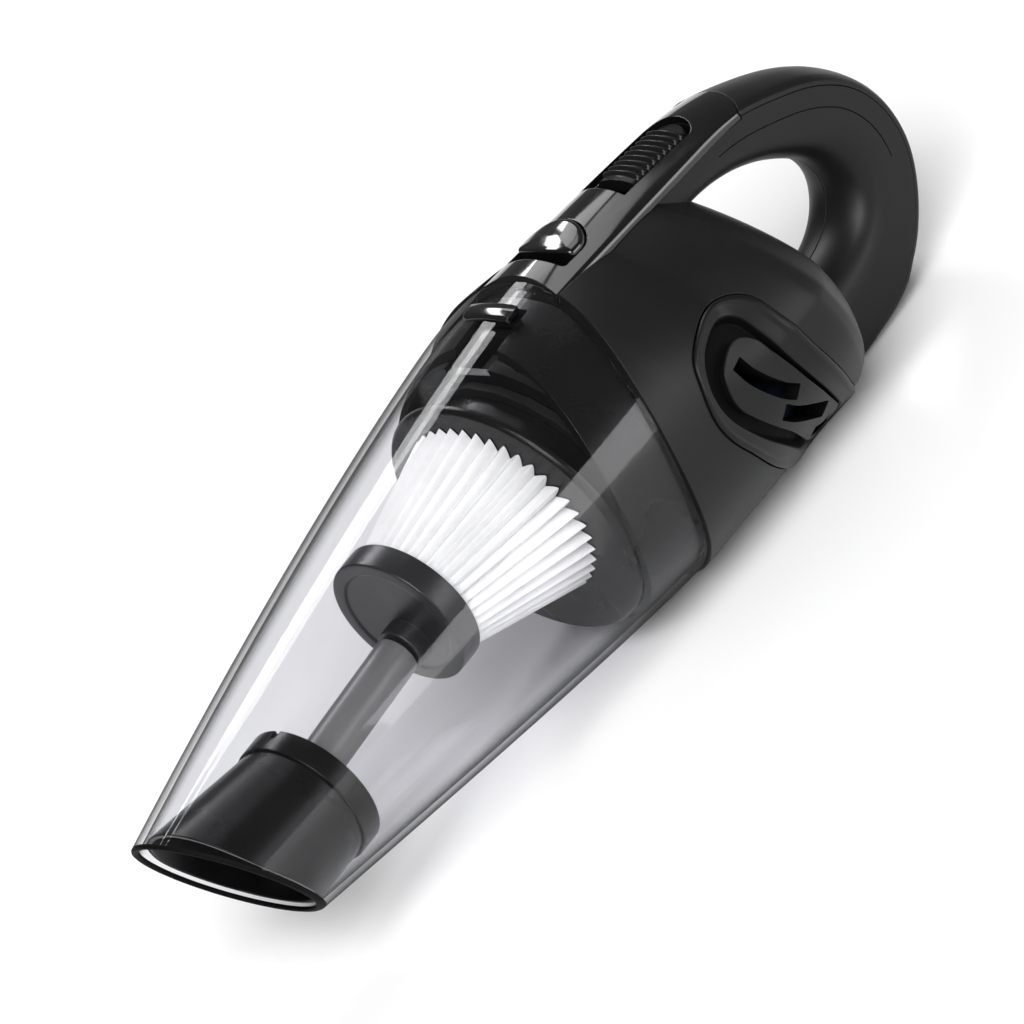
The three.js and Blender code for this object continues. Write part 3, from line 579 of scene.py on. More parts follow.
class Nodes:
    """Short words for building a node tree."""

    def __init__(self, name):
        self.material = bpy.data.materials.new(name)
        self.material.use_nodes = True
        self.tree = self.material.node_tree
        self.tree.nodes.clear()
        self.output = self.add("ShaderNodeOutputMaterial")
        self.shader = self.add("ShaderNodeBsdfPrincipled")
        self.tree.links.new(self.shader.outputs["BSDF"], self.output.inputs["Surface"])
        self.coordinates = self.add("ShaderNodeTexCoord").outputs["Object"]

    def add(self, kind, **settings):
        node = self.tree.nodes.new(kind)
        for key, value in settings.items():
            setattr(node, key, value)
        return node

    def put(self, socket, value):
        if isinstance(value, bpy.types.NodeSocket):
            self.tree.links.new(value, socket)
        else:
            socket.default_value = value

    def noise(self, scale, detail=3.0, stretch=(1, 1, 1), roughness=0.5):
        mapping = self.add("ShaderNodeMapping")
        self.put(mapping.inputs["Vector"], self.coordinates)
        mapping.inputs["Scale"].default_value = stretch
        node = self.add("ShaderNodeTexNoise")
        self.put(node.inputs["Vector"], mapping.outputs["Vector"])
        node.inputs["Scale"].default_value = scale
        node.inputs["Detail"].default_value = detail
        node.inputs["Roughness"].default_value = roughness
        return node.outputs["Fac"]

    def ranged(self, value, low, high, to_low, to_high):
        node = self.add("ShaderNodeMapRange")
        self.put(node.inputs["Value"], value)
        ends = {"From Min": low, "From Max": high, "To Min": to_low, "To Max": to_high}
        for key, number in ends.items():
            node.inputs[key].default_value = number
        return node.outputs["Result"]

    def spread(self, noise, low, high):
        """The middle of a noise's range, stretched from low to high."""
        return self.ranged(noise, 0.3, 0.7, low, high)

    def maths(self, operation, a, b=0.0):
        node = self.add("ShaderNodeMath", operation=operation)
        self.put(node.inputs[0], a)
        self.put(node.inputs[1], b)
        return node.outputs["Value"]

    def mix(self, factor, a, b):
        node = self.add("ShaderNodeMix", data_type="RGBA")
        self.put(node.inputs[0], factor)
        self.put(node.inputs[6], a)
        self.put(node.inputs[7], b)
        return node.outputs[2]

    def bump(self, height, strength, distance, normal=None):
        node = self.add("ShaderNodeBump")
        node.inputs["Strength"].default_value = strength
        node.inputs["Distance"].default_value = distance
        self.put(node.inputs["Height"], height)
        if normal is not None:
            self.put(node.inputs["Normal"], normal)
        return node.outputs["Normal"]

    def soft_edges(self, radius):
        node = self.add("ShaderNodeBevel")
        node.samples = 6
        node.inputs["Radius"].default_value = radius
        return node.outputs["Normal"]

    def set(self, **values):
        for key, value in values.items():
            self.put(self.shader.inputs[key.replace("_", " ")], value)


def grey(level, tint=0.0):
    """A grey with slightly more blue in it by a tint."""
    return (level, level, level * (1 + tint), 1)


def plastic(name, level, roughness, grain, grain_size=0.0004, edge=0.0003, shine=0.2):
    """Moulded plastic: uneven tone and gloss, a fine grain, and a painted highlight on its edges."""
    tint = 0.05
    n = Nodes(name)
    cloudy = n.noise(22, 4)
    fine = n.noise(1 / grain_size, 2)
    rounded_normal = n.soft_edges(edge)
    geometry = n.add("ShaderNodeNewGeometry")
    facing = n.add("ShaderNodeVectorMath", operation="DOT_PRODUCT")
    n.put(facing.inputs[0], rounded_normal)
    n.put(facing.inputs[1], geometry.outputs["Normal"])
    # painted highlight: the colour is lightened along edges, where the rounded normals turn away from
    # the faces
    painted_edge_highlight = n.ranged(facing.outputs["Value"], 0.999, 0.94, 0.0, 0.5)
    base = n.mix(n.spread(cloudy, 0, 1), grey(level * 0.86, tint), grey(level * 1.14, tint))
    speckled = n.mix(n.ranged(fine, 0.35, 0.75, 0, 0.35), base, grey(level * 1.5, tint))
    n.set(Base_Color=n.mix(painted_edge_highlight, speckled, grey(level * 2.2 + 0.002, tint)), Metallic=0.0)
    n.shader.inputs["Specular IOR Level"].default_value = shine
    unevenness = n.maths("ADD", cloudy, n.maths("MULTIPLY", fine, 0.6 if grain else 0.1))
    n.set(Roughness=n.ranged(unevenness, 0.5, 1.1, roughness * 0.88, roughness * 1.12))
    normal = rounded_normal
    if grain:
        normal = n.bump(fine, grain, grain_size * 0.1, rounded_normal)
    n.set(Normal=normal)
    return n.material


def gloss(name, level, roughness):
    """Polished plastic: faint haze, very fine waviness, and a clear coat."""
    n = Nodes(name)
    haze = n.noise(60, 5)
    wave = n.noise(45, 1)
    scratches = n.noise(700, 2, stretch=(0.06, 1, 1))
    base = n.mix(n.ranged(haze, 0.35, 0.7, 0, 1), grey(level * 0.8), grey(level * 1.3))
    n.set(Base_Color=base, Metallic=0.0)
    worn = n.maths("MULTIPLY", haze, scratches)
    n.set(Roughness=n.ranged(worn, 0.1, 0.45, roughness * 0.7, roughness * 1.7))
    n.shader.inputs["Coat Weight"].default_value = 0.25
    n.shader.inputs["Coat Roughness"].default_value = 0.04
    n.set(Normal=n.bump(wave, 0.06, 0.0002, n.soft_edges(0.0004)))
    return n.material


def metal(name, color, roughness, stretch=(1, 1, 1)):
    """Turned or drawn metal with fine marks."""
    n = Nodes(name)
    marks = n.noise(900, 3, stretch=stretch)
    patches = n.noise(70, 3)
    darker = tuple(c * 0.75 for c in color[:3]) + (1,)
    n.set(Base_Color=n.mix(n.ranged(patches, 0.35, 0.7, 0, 1), darker, color), Metallic=1.0)
    n.set(Roughness=n.spread(marks, roughness * 0.7, roughness * 1.4))
    n.set(Normal=n.bump(marks, 0.15, 0.00003, n.soft_edges(0.0002)))
    return n.material


def clear_plastic(name, passing, along_wall):
    """Clear plastic that lets light straight through: a share called passing where it is seen
    square on, and along_wall where it is seen edge on. Its shine grows there too."""
    n = Nodes(name)
    flow = n.noise(14, 3, stretch=(0.35, 1, 1))
    edge_on = n.add("ShaderNodeLayerWeight")
    edge_on.inputs["Blend"].default_value = 0.5
    edge = n.maths("POWER", edge_on.outputs["Facing"], 4.0)
    tint = n.mix(n.spread(flow, 0, 1), grey(passing, 0.01), grey(passing * 0.94, 0.015))
    see = n.add("ShaderNodeBsdfTransparent")
    n.put(see.inputs["Color"], n.mix(n.ranged(edge, 0.14, 0.72, 0, 1), tint, grey(along_wall)))
    n.set(Base_Color=n.mix(flow, grey(0.85), grey(0.95)), Metallic=1.0)
    n.set(Roughness=n.spread(n.noise(160, 3), 0.02, 0.05))
    n.set(Normal=n.bump(flow, 0.05, 0.0004, n.soft_edges(0.0003)))
    both = n.add("ShaderNodeMixShader")
    n.put(both.inputs[0], n.ranged(edge, 0.0, 0.9, 0.018, 0.16))
    n.put(both.inputs[1], see.outputs["BSDF"])
    n.put(both.inputs[2], n.shader.outputs["BSDF"])
    n.tree.links.new(both.outputs["Shader"], n.output.inputs["Surface"])
    return n.material


def smoked_plastic(name):
    """Cloudy grey moulded plastic."""
    n = Nodes(name)
    cloudy = n.noise(40, 4)
    base = n.mix(n.spread(cloudy, 0, 1), grey(0.11), grey(0.14))
    n.set(Base_Color=base, Metallic=0.0)
    n.set(Roughness=n.spread(cloudy, 0.3, 0.42))
    n.set(Normal=n.bump(n.noise(300, 2), 0.08, 0.00005, n.soft_edges(0.0003)))
    return n.material


def paper(name):
    """White fibrous filter paper with faint grey dust between its fibres."""
    n = Nodes(name)
    fibres = n.noise(900, 4, stretch=(0.4, 1, 1), roughness=0.7)
    dust = n.noise(50, 5)
    base = n.mix(n.ranged(dust, 0.35, 0.75, 0, 1), (0.9, 0.9, 0.89, 1), (0.8, 0.8, 0.785, 1))
    fibre_tone = n.mix(n.spread(fibres, 0, 0.25), base, (0.62, 0.62, 0.61, 1))
    n.set(Base_Color=fibre_tone, Metallic=0.0)
    n.set(Roughness=n.spread(fibres, 0.82, 0.95))
    n.shader.inputs["Sheen Weight"].default_value = 0.15
    n.set(Normal=n.bump(fibres, 0.35, 0.00008))
    return n.material


def lacquered_board(name):
    """Green solder mask with faint copper tracks under it."""
    n = Nodes(name)
    tracks = n.add("ShaderNodeTexWave")
    n.put(tracks.inputs["Vector"], n.coordinates)
    tracks.inputs["Scale"].default_value = 160
    tracks.inputs["Distortion"].default_value = 3.0
    tone = n.ranged(tracks.outputs["Fac"], 0.45, 0.55, 0, 1)
    n.set(Base_Color=n.mix(tone, (0.012, 0.09, 0.035, 1), (0.03, 0.17, 0.07, 1)), Metallic=0.0)
    n.set(Roughness=n.spread(n.noise(400, 2), 0.25, 0.4))
    n.set(Normal=n.bump(tracks.outputs["Fac"], 0.2, 0.00003))
    return n.material


def wrapped_cell(name):
    """Dark shrink wrap with soft creases."""
    n = Nodes(name)
    creases = n.noise(220, 3, stretch=(0.2, 1, 1))
    dark, light = (0.006, 0.01, 0.02, 1), (0.012, 0.02, 0.04, 1)
    n.set(Base_Color=n.mix(n.spread(creases, 0, 1), dark, light))
    n.set(Roughness=n.spread(creases, 0.3, 0.45), Metallic=0.0)
    n.set(Normal=n.bump(creases, 0.25, 0.00008))
    return n.material


MATTE = plastic("grained_black", 0.006, 0.42, grain=0.25, edge=0.0005)
VENT = plastic("vent_black", 0.005, 0.38, grain=0.2, shine=0.18)
# painted shade: a darker, duller black for the vent's channel and slot walls, and for the cup's lip
PAINTED_SHADE = plastic("painted_shade_black", 0.002, 0.7, grain=0.2, edge=0.0002, shine=0.08)
RIBBED = plastic("switch_black", 0.006, 0.28, grain=0.2, edge=0.0002)
GLOSS = gloss("gloss_black", 0.004, 0.09)
SATIN = plastic("satin_black", 0.004, 0.3, grain=0.0, edge=0.0004)
CAP = plastic("cap_black", 0.014, 0.34, grain=0.05, edge=0.0004, shine=0.5)
RUBBER = plastic("soft_black", 0.006, 0.7, grain=0.3, grain_size=0.0003)
INNER = plastic("inner_grey", 0.06, 0.45, grain=0.2, grain_size=0.0006)
CLEAR = clear_plastic("clear_smoked", 0.95, 0.006)
SMOKED = smoked_plastic("smoke_grey")
PAPER = paper("filter_paper")
STEEL = metal("bare_steel", (0.62, 0.63, 0.65, 1), 0.3, stretch=(0.08, 1, 1))
SCREW = metal("screw_steel", (0.3, 0.3, 0.31, 1), 0.34)
BOARD = lacquered_board("green_board")
WRAP = wrapped_cell("dark_wrap")

# ---- the motor body and handle ----

VENT_LOOP = [
    (-35, 23.1), (-46.9, 21.2), (-53.5, 15.5), (-55.2, 6), (-58, -7), (-63, -20.5), (-70, -35.5),
    (-77, -46.5), (-74, -51), (-62, -51.8), (-48, -49.5), (-37, -42.5), (-27, -31.6), (-19.5, -19.5),
    (-13.6, -8), (-12.2, 2), (-15.5, 12), (-21.5, 19.5),
]
TRENCH_LOOP = [
    (-34.4, 19.1), (-41, 18.3), (-45, 14.5), (-46.2, 7), (-47.6, -2), (-51.2, -13), (-56.5, -25),
    (-63, -36.8), (-70, -47), (-68, -50.2), (-58, -50.5), (-47.5, -44.6), (-35.4, -31), (-27.1, -20.2),
    (-21, -10), (-17.8, -2.5), (-17.2, 4.5), (-19.6, 11.3), (-25.5, 16.8),
]
ISLAND_LOOP = [
    (-34.6, 12.6), (-39.5, 11.7), (-43.2, 7.5), (-44.5, 1), (-47.7, -8.1), (-52.3, -19.4),
    (-60, -33.8), (-67.5, -45), (-66, -48), (-58, -48.3), (-49.2, -42.4), (-38.7, -28.1),
    (-32.5, -20), (-26.4, -10.6), (-23.1, -4), (-22.7, 2), (-25.1, 7.8), (-29.2, 11),
]
# each slot's middle line and half its width
VENT_SLOTS = [
    ([(-31.6, 7.8), (-32.8, 1.5), (-36.2, -5.4), (-40.8, -12.2), (-45.7, -17.4)], 2.6),
    ([(-37.4, -18.2), (-42.4, -23.8), (-49.4, -29.5), (-56.8, -35.2)], 2.6),
    ([(-51.4, -40.4), (-56, -43), (-61.5, -44.8)], 1.7),
]
VENT_POINTS = 260
PAINTED_SHADE_FROM = 0.85  # how far below the body's surface the vent gets the painted shade


def even_loop(knots, count=VENT_POINTS):
    """A smooth closed outline. Its points are evenly spaced from the top to the lowest point, and
    from there back up, so that the same place on two outlines has the same number."""
    fine = catmull(knots, 1200, closed=True)
    low = int(np.argmin(fine[:, 1]))
    out = []
    for part in (fine[: low + 1], np.concatenate([fine[low:], fine[:1]])):
        steps = np.linalg.norm(np.diff(part, axis=0), axis=1)
        along = np.concatenate([[0], np.cumsum(steps)])
        want = np.linspace(0, along[-1], count // 2, endpoint=False)
        out.append(np.stack([np.interp(want, along, part[:, k]) for k in (0, 1)], axis=1))
    return np.concatenate(out)


vent_edge, trench_edge, island_edge = map(even_loop, (VENT_LOOP, TRENCH_LOOP, ISLAND_LOOP))


def on_skin(skin, loop, offset):
    """The outline laid on the body's left side, at a distance above the surface."""
    out = []
    for x, z in loop:
        where, normal = skin.from_left(x, z)
        out.append(tuple(where + normal * offset))
    return out


def slot_cutter(line, half):
    """A through cut along a line on the vent's inner plate."""
    middle = catmull(line, 24)
    along = np.gradient(middle, axis=0)
    along /= np.linalg.norm(along, axis=1)[:, None]
    across = np.stack([-along[:, 1], along[:, 0]], axis=1) * half
    loop = rounded([*(middle + across), *(middle - across)[::-1]], 0.9, 3)
    return prism("slot", loop, 5, FAR, "y")


def vent_grille(skin):
    """Raised rim, deep channel and inner plate, as closed rings laid on the body."""
    clearance, back_level, plate_level = 0.45, -5.8, -0.3
    centre = island_edge.mean(axis=0)
    rim = inset(vent_edge, clearance)
    plate = inset(island_edge, 0.45)

    # the raised rim: share of the way from its outside to the channel, and height
    rim_profile = [(0.05, 0.85), (0.12, 1.05), (0.22, 1.08), (0.3, 1.0), (0.36, 0.72), (0.5, 0.5),
                   (0.7, 0.22), (0.88, 0.0), (0.96, -0.15)]
    # the channel's two walls: distance inwards, and height
    outer_wall = [(0.15, -1.0), (0.5, -4.4), (0.9, -4.8)]
    inner_wall = [(-0.5, -4.8), (-0.25, -4.4)]

    rings = [(centre + (rim - centre) * share, back_level) for share in (0.03, 0.3, 0.6, 0.85)]
    rings = [*rings[::-1], (rim, back_level), (rim, -0.6), (rim, 0.5)]
    rings += [(rim * (1 - share) + trench_edge * share, height) for share, height in rim_profile]
    rings.append((trench_edge, -0.45))
    rings += [(inset(trench_edge, inwards), height) for inwards, height in outer_wall]
    rings += [(inset(island_edge, inwards), height) for inwards, height in inner_wall]
    rings += [(island_edge, -0.9), (inset(island_edge, 0.12), -0.5), (plate, plate_level)]
    for share in (0.9, 0.75, 0.6, 0.45, 0.3, 0.15, 0.03):
        rings.append((centre + (plate - centre) * share, plate_level))
    return loft("vent", [on_skin(skin, loop, height) for loop, height in rings])


def deep_faces(obj, skin):
    """Faces well below the body's surface: the channel's walls and floor, and the slots' walls."""
    found = []
    for face in obj.data.polygons:
        middle = face.center.copy()
        middle.y = abs(middle.y)
        where, normal, _, distance = skin.tree.find_nearest(middle)
        if distance > PAINTED_SHADE_FROM and (middle - where).dot(normal) < 0:
            found.append(face.index)
    return found


def motor_body():
    """The two housing halves with the handle, its outer band, and the vents in their windows."""
    skin_form = body_form(0)
    skin = Skin(skin_form)
    grip = handle_form("grip", 0, 1, grip_outline)
    grip_skin = Skin(grip)
    bare_grip = twin(grip)
    shape = common(skin_form, behind_joint(-GAP / 2))
    shape = plus(shape, minus(grip, band_zone(GAP)))
    window = prism("window", [tuple(p) for p in vent_edge], 15, FAR, "y")
    right_window = mirrored(window, "window_right")
    bore = lathe("bore", [(-100, 0), (-100, 4.3), (-78, 4.3), (-78, 0)], 48, (0, PORT_LEVEL))
    seat = lathe("seat", [(-12.5, 0), (-12.5, COLLAR_SEAT), (20, COLLAR_SEAT), (20, 0)], 160)
    heads = []
    for x, z in SCREW_PLACES:
        loop = circle(x, z, SCREW_RECESS, 40)
        heads.append(prism("head", loop, -FAR, SCREW_RECESS_DEPTH - HANDLE_HALF_WIDTH, "y"))
    shape = minus(shape, body_form(-2.4, -5.2), spine_form(GAP, 12), button_pocket(), switch_pocket(),
                  window, right_window, bore, seat, parting_groove(1), parting_groove(-1), *heads)
    for name, y0, y1 in (("housing_left", GAP / 2, FAR), ("housing_right", -FAR, -GAP / 2)):
        half = common(twin(shape), box("half", -200, 20, y0, y1, REST_LEVEL, FAR))
        shade(half, [skin, grip_skin])
        place(half, name + "_shell", "motor_body", name, MATTE)
    bpy.data.objects.remove(shape)

    above = box("above", -200, 20, -FAR, FAR, REST_LEVEL, FAR)
    band = common(bare_grip, band_zone(0), above)
    band = minus(band, spine_form(GAP, 12))
    shade(band, [grip_skin])
    place(band, "handle_outer_band", "motor_body", "handle_band", MATTE)

    left = vent_grille(skin)
    left = minus(left, *[slot_cutter(line, half) for line, half in VENT_SLOTS])
    right = mirrored(left, "right")
    for made, name in ((left, "left"), (right, "right")):
        shade(made, sharp=26)
        # painted shade on the faces deep in the vent
        deep = deep_faces(made, skin)
        place(made, "vent_" + name, "motor_body", "vent_grille_" + name, VENT)
        give_look(made, PAINTED_SHADE, deep)


def spine():
    """The glossy strip along the top, with openings for the button and the switch."""
    strip = spine_form(0, 0.4, soft=0.5)
    skin = Skin(strip)
    strip = common(strip, behind_joint(-GAP / 2))
    strip = minus(strip, button_pocket(), switch_pocket())
    shade(strip, [skin])
    place(strip, "spine_strip", "motor_body", "spine_cover", GLOSS)


def release_button():
    """A glossy key with a softened rim. Its arm and tooth reach forward under the cover."""
    underside, dip = 44, 0.35

    def crown(x, y):
        return crest(x) + BUTTON_CROWN - spine_drop(x) * (y / 19) ** 2

    plan = np.array(button_plan(0))
    rings = [[(x, y, underside) for x, y in inset(plan, 0)]]
    for shrink, below in ((0, -1.3), (0.12, -0.75), (0.4, -0.3), (0.9, 0)):
        rings.append([(x, y, crown(x, y) + below) for x, y in inset(plan, shrink)])
    centre = plan.mean(axis=0)
    for share in (0.85, 0.65, 0.45, 0.25, 0.04):
        loop = centre + (inset(plan, 0.9) - centre) * share
        rings.append([(x, y, crown(x, y) - dip * (1 - share)) for x, y in loop])
    key = loft("key", rings)
    arm = box("arm", -39, 2.2, -6.5, 6.5, 40.4, 44.4)
    tooth = box("tooth", -1, 2.2, -6.5, 6.5, 44, 48.4)
    shade(plus(key, arm, tooth), sharp=40)
    place(key, "release_key", "button", "release_button", GLOSS)


def power_switch():
    """The slider: its top is waved across, and its rim is softened."""
    margin, sink, rib_height, depth = 2, 1.4, 1.25, 6.5
    crowning, softened, edge_share = 1.6, 1.1, 0.14
    pitch = (SWITCH_FRONT - SWITCH_BACK - 3 * margin) / SWITCH_RIBS
    rear = SWITCH_HALF * SLOT_ROUND

    def level(x):
        along = (SWITCH_FRONT - margin - x) / pitch
        wave = 0.5 - 0.5 * math.cos(2 * math.pi * along) if 0 < along < SWITCH_RIBS else 0.0
        return crest(x) - sink + rib_height * wave ** 0.8

    rows = []
    for x in np.linspace(SWITCH_FRONT, SWITCH_BACK, 260):
        ratio = min(1.0, max(0.0, SWITCH_BACK + rear - x) / rear)
        half = SWITCH_HALF * math.sqrt(max(0.0004, 1 - ratio * ratio))
        row = [(x, -half, crest(x) - depth)]
        for share in np.linspace(-1, 1, 33):
            near_edge = max(0.0, (abs(share) - (1 - edge_share)) / edge_share)
            edge = 1 - math.sqrt(max(0.0, 1 - near_edge ** 2))
            low = crowning * (half * share / SWITCH_HALF) ** 2 + softened * edge
            row.append((x, half * share, level(x) - low))
        row.append((x, half, crest(x) - depth))
        rows.append(row)
    made = loft("slider", rows)
    peg = box("peg", -85, -81, -2, 2, 38.4, 44)
    shade(plus(made, peg), sharp=50)
    place(made, "switch_slider", "switch", "power_switch", RIBBED)


def handle_screws():
    """Pan heads with a cross recess, at the bottom of the recesses on the right side."""
    seat, shank, length = 2 - HANDLE_HALF_WIDTH, 1.35, 24
    profile = [(0, 0), (0.2, 1.4), (0.55, 2.3), (1.0, 2.7), (1.7, 2.7), (1.7, shank)]
    profile += [(length, shank), (length, 0)]
    for i, (x, z) in enumerate(SCREW_PLACES):
        made = lathe("screw", profile, 48, closed=False)
        made.data.transform(Matrix.Rotation(math.pi / 2, 4, "Z"))
        made.data.transform(Matrix.Translation((x, seat, z)))
        cutters = []
        for turn in (0.3, 0.3 + math.pi / 2):
            bar = box("cross", -1.5, 1.5, -2, 0.75, -0.32, 0.32)
            bar.data.transform(Matrix.Rotation(turn, 4, "Y"))
            bar.data.transform(Matrix.Translation((x, seat, z)))
            cutters.append(bar)
        made = minus(made, plus(cutters[0], cutters[1]))
        shade(made)
        place(made, f"handle_screw_{i + 1}", "motor_body", f"screw_{i + 1}", SCREW)


def front_collar():
    """The ring that the cup slides over, with its wall and its notch."""
    outer, inner = CUP_WALL + 0.7, CUP_WALL + 3
    stations = np.linspace(-12, COLLAR_FRONT + 12, 12)
    rows = [cup_outline(x, 0, outer, 160) for x in stations]
    rows += [cup_outline(x, 0, inner, 160) for x in stations[::-1]]
    tube = loft("collar", rows, looped=True)
    loop = circle(JOINT_X + COLLAR_FRONT - 2 - JOINT_RADIUS, JOINT_Z, JOINT_RADIUS, 300)
    tube = common(tube, prism("front", loop, -FAR, FAR, "y"))
    wall = lathe("wall", [(14, 30), (17, 30), (17, 49.3), (14, 49.3)], 128)
    tube = plus(tube, wall)
    tube = minus(tube, box("notch", -7.5, 40, -9.8, 9.8, 46, 60))
    shade(tube)
    place(tube, "body_collar", "motor_body", "front_collar", SATIN)


def charge_socket():
    """A round socket, wider inside the housing's wall than outside."""
    profile = rounded([(-91.5, 2.6), (-81.5, 2.6), (-81.5, 1.2), (-77, 1.2), (-77, 5.4), (-82, 5.4),
                       (-82, 4), (-91.5, 4)], 0.35, 3)
    made = lathe("socket", profile, 64, (0, PORT_LEVEL))
    shade(made)
    place(made, "charge_socket", "motor_body", "charge_port", RUBBER)


# ---- the cup and what is in it ----

EDGE_BAND = 1.8  # the band at the cup's mouth that is painted dark as shade


def dust_cup():
    """The clear cup. The faces next to its rounded mouth get a painted shade."""
    stations = catmull(CUP_STATIONS, 66)
    last = [(MOUTH_X - EDGE_BAND, MOUTH_LEAN), (MOUTH_X - 0.9, MOUTH_LEAN)]
    stations = [s for s in stations if s[0] < last[0][0] - 1] + last
    rows = [cup_outline(x, lean, 0) for x, lean in stations]
    for inward in (0.35, 0.9, CUP_WALL - 0.9, CUP_WALL - 0.35):
        at_end = MOUTH_X if 0.5 < inward < CUP_WALL - 0.5 else MOUTH_X - 0.3
        rows.append(cup_outline(at_end, MOUTH_LEAN, inward))
    rows += [cup_outline(x, lean, CUP_WALL) for x, lean in stations[::-1]]
    cup = loft("cup", rows, looped=True)
    outer = Skin(cup)
    cup = minus(cup, behind_joint(GAP / 2))
    shade(cup, [outer])

    def from_mouth(face):
        return MOUTH_X + MOUTH_LEAN * face.center.z - face.center.x

    at_mouth = [face.index for face in cup.data.polygons if from_mouth(face) < EDGE_BAND]
    place(cup, "cup_shell", "cup", "dust_cup", CLEAR)
    # painted shade: the clear lip gets the dark shade black
    give_look(cup, PAINTED_SHADE, at_mouth)


def arc_section(x, inner, outer, half_angle, steps=28):
    """A closed outline of part of a ring, centred on its top, at one x."""
    angles = [math.pi / 2 - half_angle + 2 * half_angle * i / steps for i in range(steps + 1)]
    top = [(x, outer * math.cos(a), outer * math.sin(a)) for a in angles]
    low = [(x, inner * math.cos(a), inner * math.sin(a)) for a in reversed(angles)]
    return top + low


def cup_catch():
    """A low rounded tab on the cup with its hook below."""
    # where on the axis, height above the cup, and half its width as an angle
    stations = [(-5.6, 0.1, 0.15), (-5.4, 0.7, 0.175), (-4.6, 1.2, 0.188), (-2.1, 1.4, 0.19),
                (0.2, 1.2, 0.188), (1.1, 0.7, 0.175), (1.4, 0.1, 0.15)]
    tab = loft("tab", [arc_section(x, 54.0, 54.7 + rise, half) for x, rise, half in stations])
    peg = loft("peg", [arc_section(x, 49, 54.5, 0.165) for x in (-4.2, -1.6)])
    shade(plus(tab, peg), sharp=40)
    place(tab, "catch_tab", "cup", "cup_catch", GLOSS)


def duct_outline(share, inward, count=200):
    """A section of the duct: round at share 0, and the mouth's leaning outline at share 1."""
    mouth = cup_outline(MOUTH_X - 3, MOUTH_LEAN, CUP_WALL + GAP + inward, count)
    out = []
    for i, (x, y, z) in enumerate(mouth):
        x -= DUCT_SETBACK * max(0, z / MOUTH_RADIUS) ** 2
        angle = 2 * math.pi * i / count
        r = DUCT_RADIUS - inward
        back = (DUCT_BACK, r * math.cos(angle), DUCT_RISE + r * math.sin(angle))
        out.append(tuple(b + (m - b) * share for b, m in zip(back, (x, y, z))))
    return out


def inlet_duct():
    """The duct, ending a little way inside the cup's mouth."""

    def ease(t):
        return t * t * (3 - 2 * t) * 0.35 + t * 0.65

    rows = [duct_outline(ease(t), 0) for t in np.linspace(0, 0.99, 30)]
    rows += [duct_outline(1, 0.4), duct_outline(1, DUCT_WALL - 0.4)]
    rows += [duct_outline(ease(t), DUCT_WALL) for t in np.linspace(0.99, 0, 30)]
    duct = loft("duct", rows, looped=True)
    shade(duct, sharp=38)
    place(duct, "nozzle_duct", "cup", "inlet_duct", SATIN)


def duct_collar():
    """The ring on the duct's rear end, with a small notch on top."""
    back, front = DUCT_BACK - 7.6, DUCT_BACK + 0.6
    profile = rounded([(back, DUCT_RADIUS - 2), (back, DUCT_RADIUS + 1), (front, DUCT_RADIUS + 1),
                       (front, DUCT_RADIUS + 0.1), (DUCT_BACK - 0.2, DUCT_RADIUS - 2)], 0.5, 4)
    rim = lathe("rim", profile, 180, (0, DUCT_RISE))
    notch = box("notch", DUCT_BACK - 9, DUCT_BACK - 4.2, -1.3, 1.3, DUCT_RISE + 18, DUCT_RISE + 30)
    rim = minus(rim, notch)
    shade(rim)
    place(rim, "duct_ring", "cup", "duct_collar", SATIN)


def filter_pleats():
    """Folded paper: sharp but rounded folds outside, and a plain round wall inside."""
    per_fold = 12
    count = PLEATS * per_fold

    def folded(x, radius, rise, depth):
        out = []
        for i in range(count):
            angle = 2 * math.pi * i / count
            t = (i % per_fold) / per_fold
            fold = abs(2 * t - 1) ** 0.85
            softened = fold * fold * (3 - 2 * fold) * 0.5 + fold * 0.5
            r = radius - depth * (1 - softened)
            out.append((x, r * math.cos(angle), rise + r * math.sin(angle)))
        return out

    rows = []
    wall = [(t, FILTER_RADIUS, FILTER_TIP_RADIUS, PLEAT_DEPTH, PLEAT_TIP_DEPTH)
            for t in np.linspace(0, 1, 14)]
    wall += [(t, FILTER_BORE, FILTER_TIP_BORE, 0, 0) for t in (1, 0.5, 0)]
    for t, radius, tip_radius, depth, tip_depth in wall:
        x, rise = between(FILTER_BACK, FILTER_FRONT, t), between(FILTER_RISE, CAP_RISE, t)
        rows.append(folded(x, between(radius, tip_radius, t), rise, between(depth, tip_depth, t)))
    pleats = loft("pleats", rows, looped=True)
    shade(pleats, sharp=60)
    place(pleats, "pleated_paper", "filter", "filter_pleats", PAPER)


def filter_cap():
    """The cone's end cap: a rim round a shallow face with a boss on it, hollow behind."""
    x, r, end = CAP_X, CAP_RADIUS, CAP_X + CAP_LENGTH
    profile = rounded([(x, r), (end, r), (end, r - 4.4), (end - 0.7, r - 5), (end - 0.7, 0.01),
                       (x + 1.6, 0.01), (x + 1.6, r - 1.8), (x, r - 1.8)], 0.8, 5)
    cap = lathe("cap", profile, 160, (0, CAP_RISE))
    boss_end = end + BOSS_LENGTH
    boss = lathe("boss", rounded([(end - 1, 0.01), (end - 1, BOSS_RADIUS), (boss_end, BOSS_RADIUS),
                                  (boss_end, 0.01)], 0.6, 5), 96, (0, BOSS_RISE))
    cap = plus(cap, boss)
    shade(cap, sharp=40)
    place(cap, "cone_cap", "filter", "filter_cap", CAP)


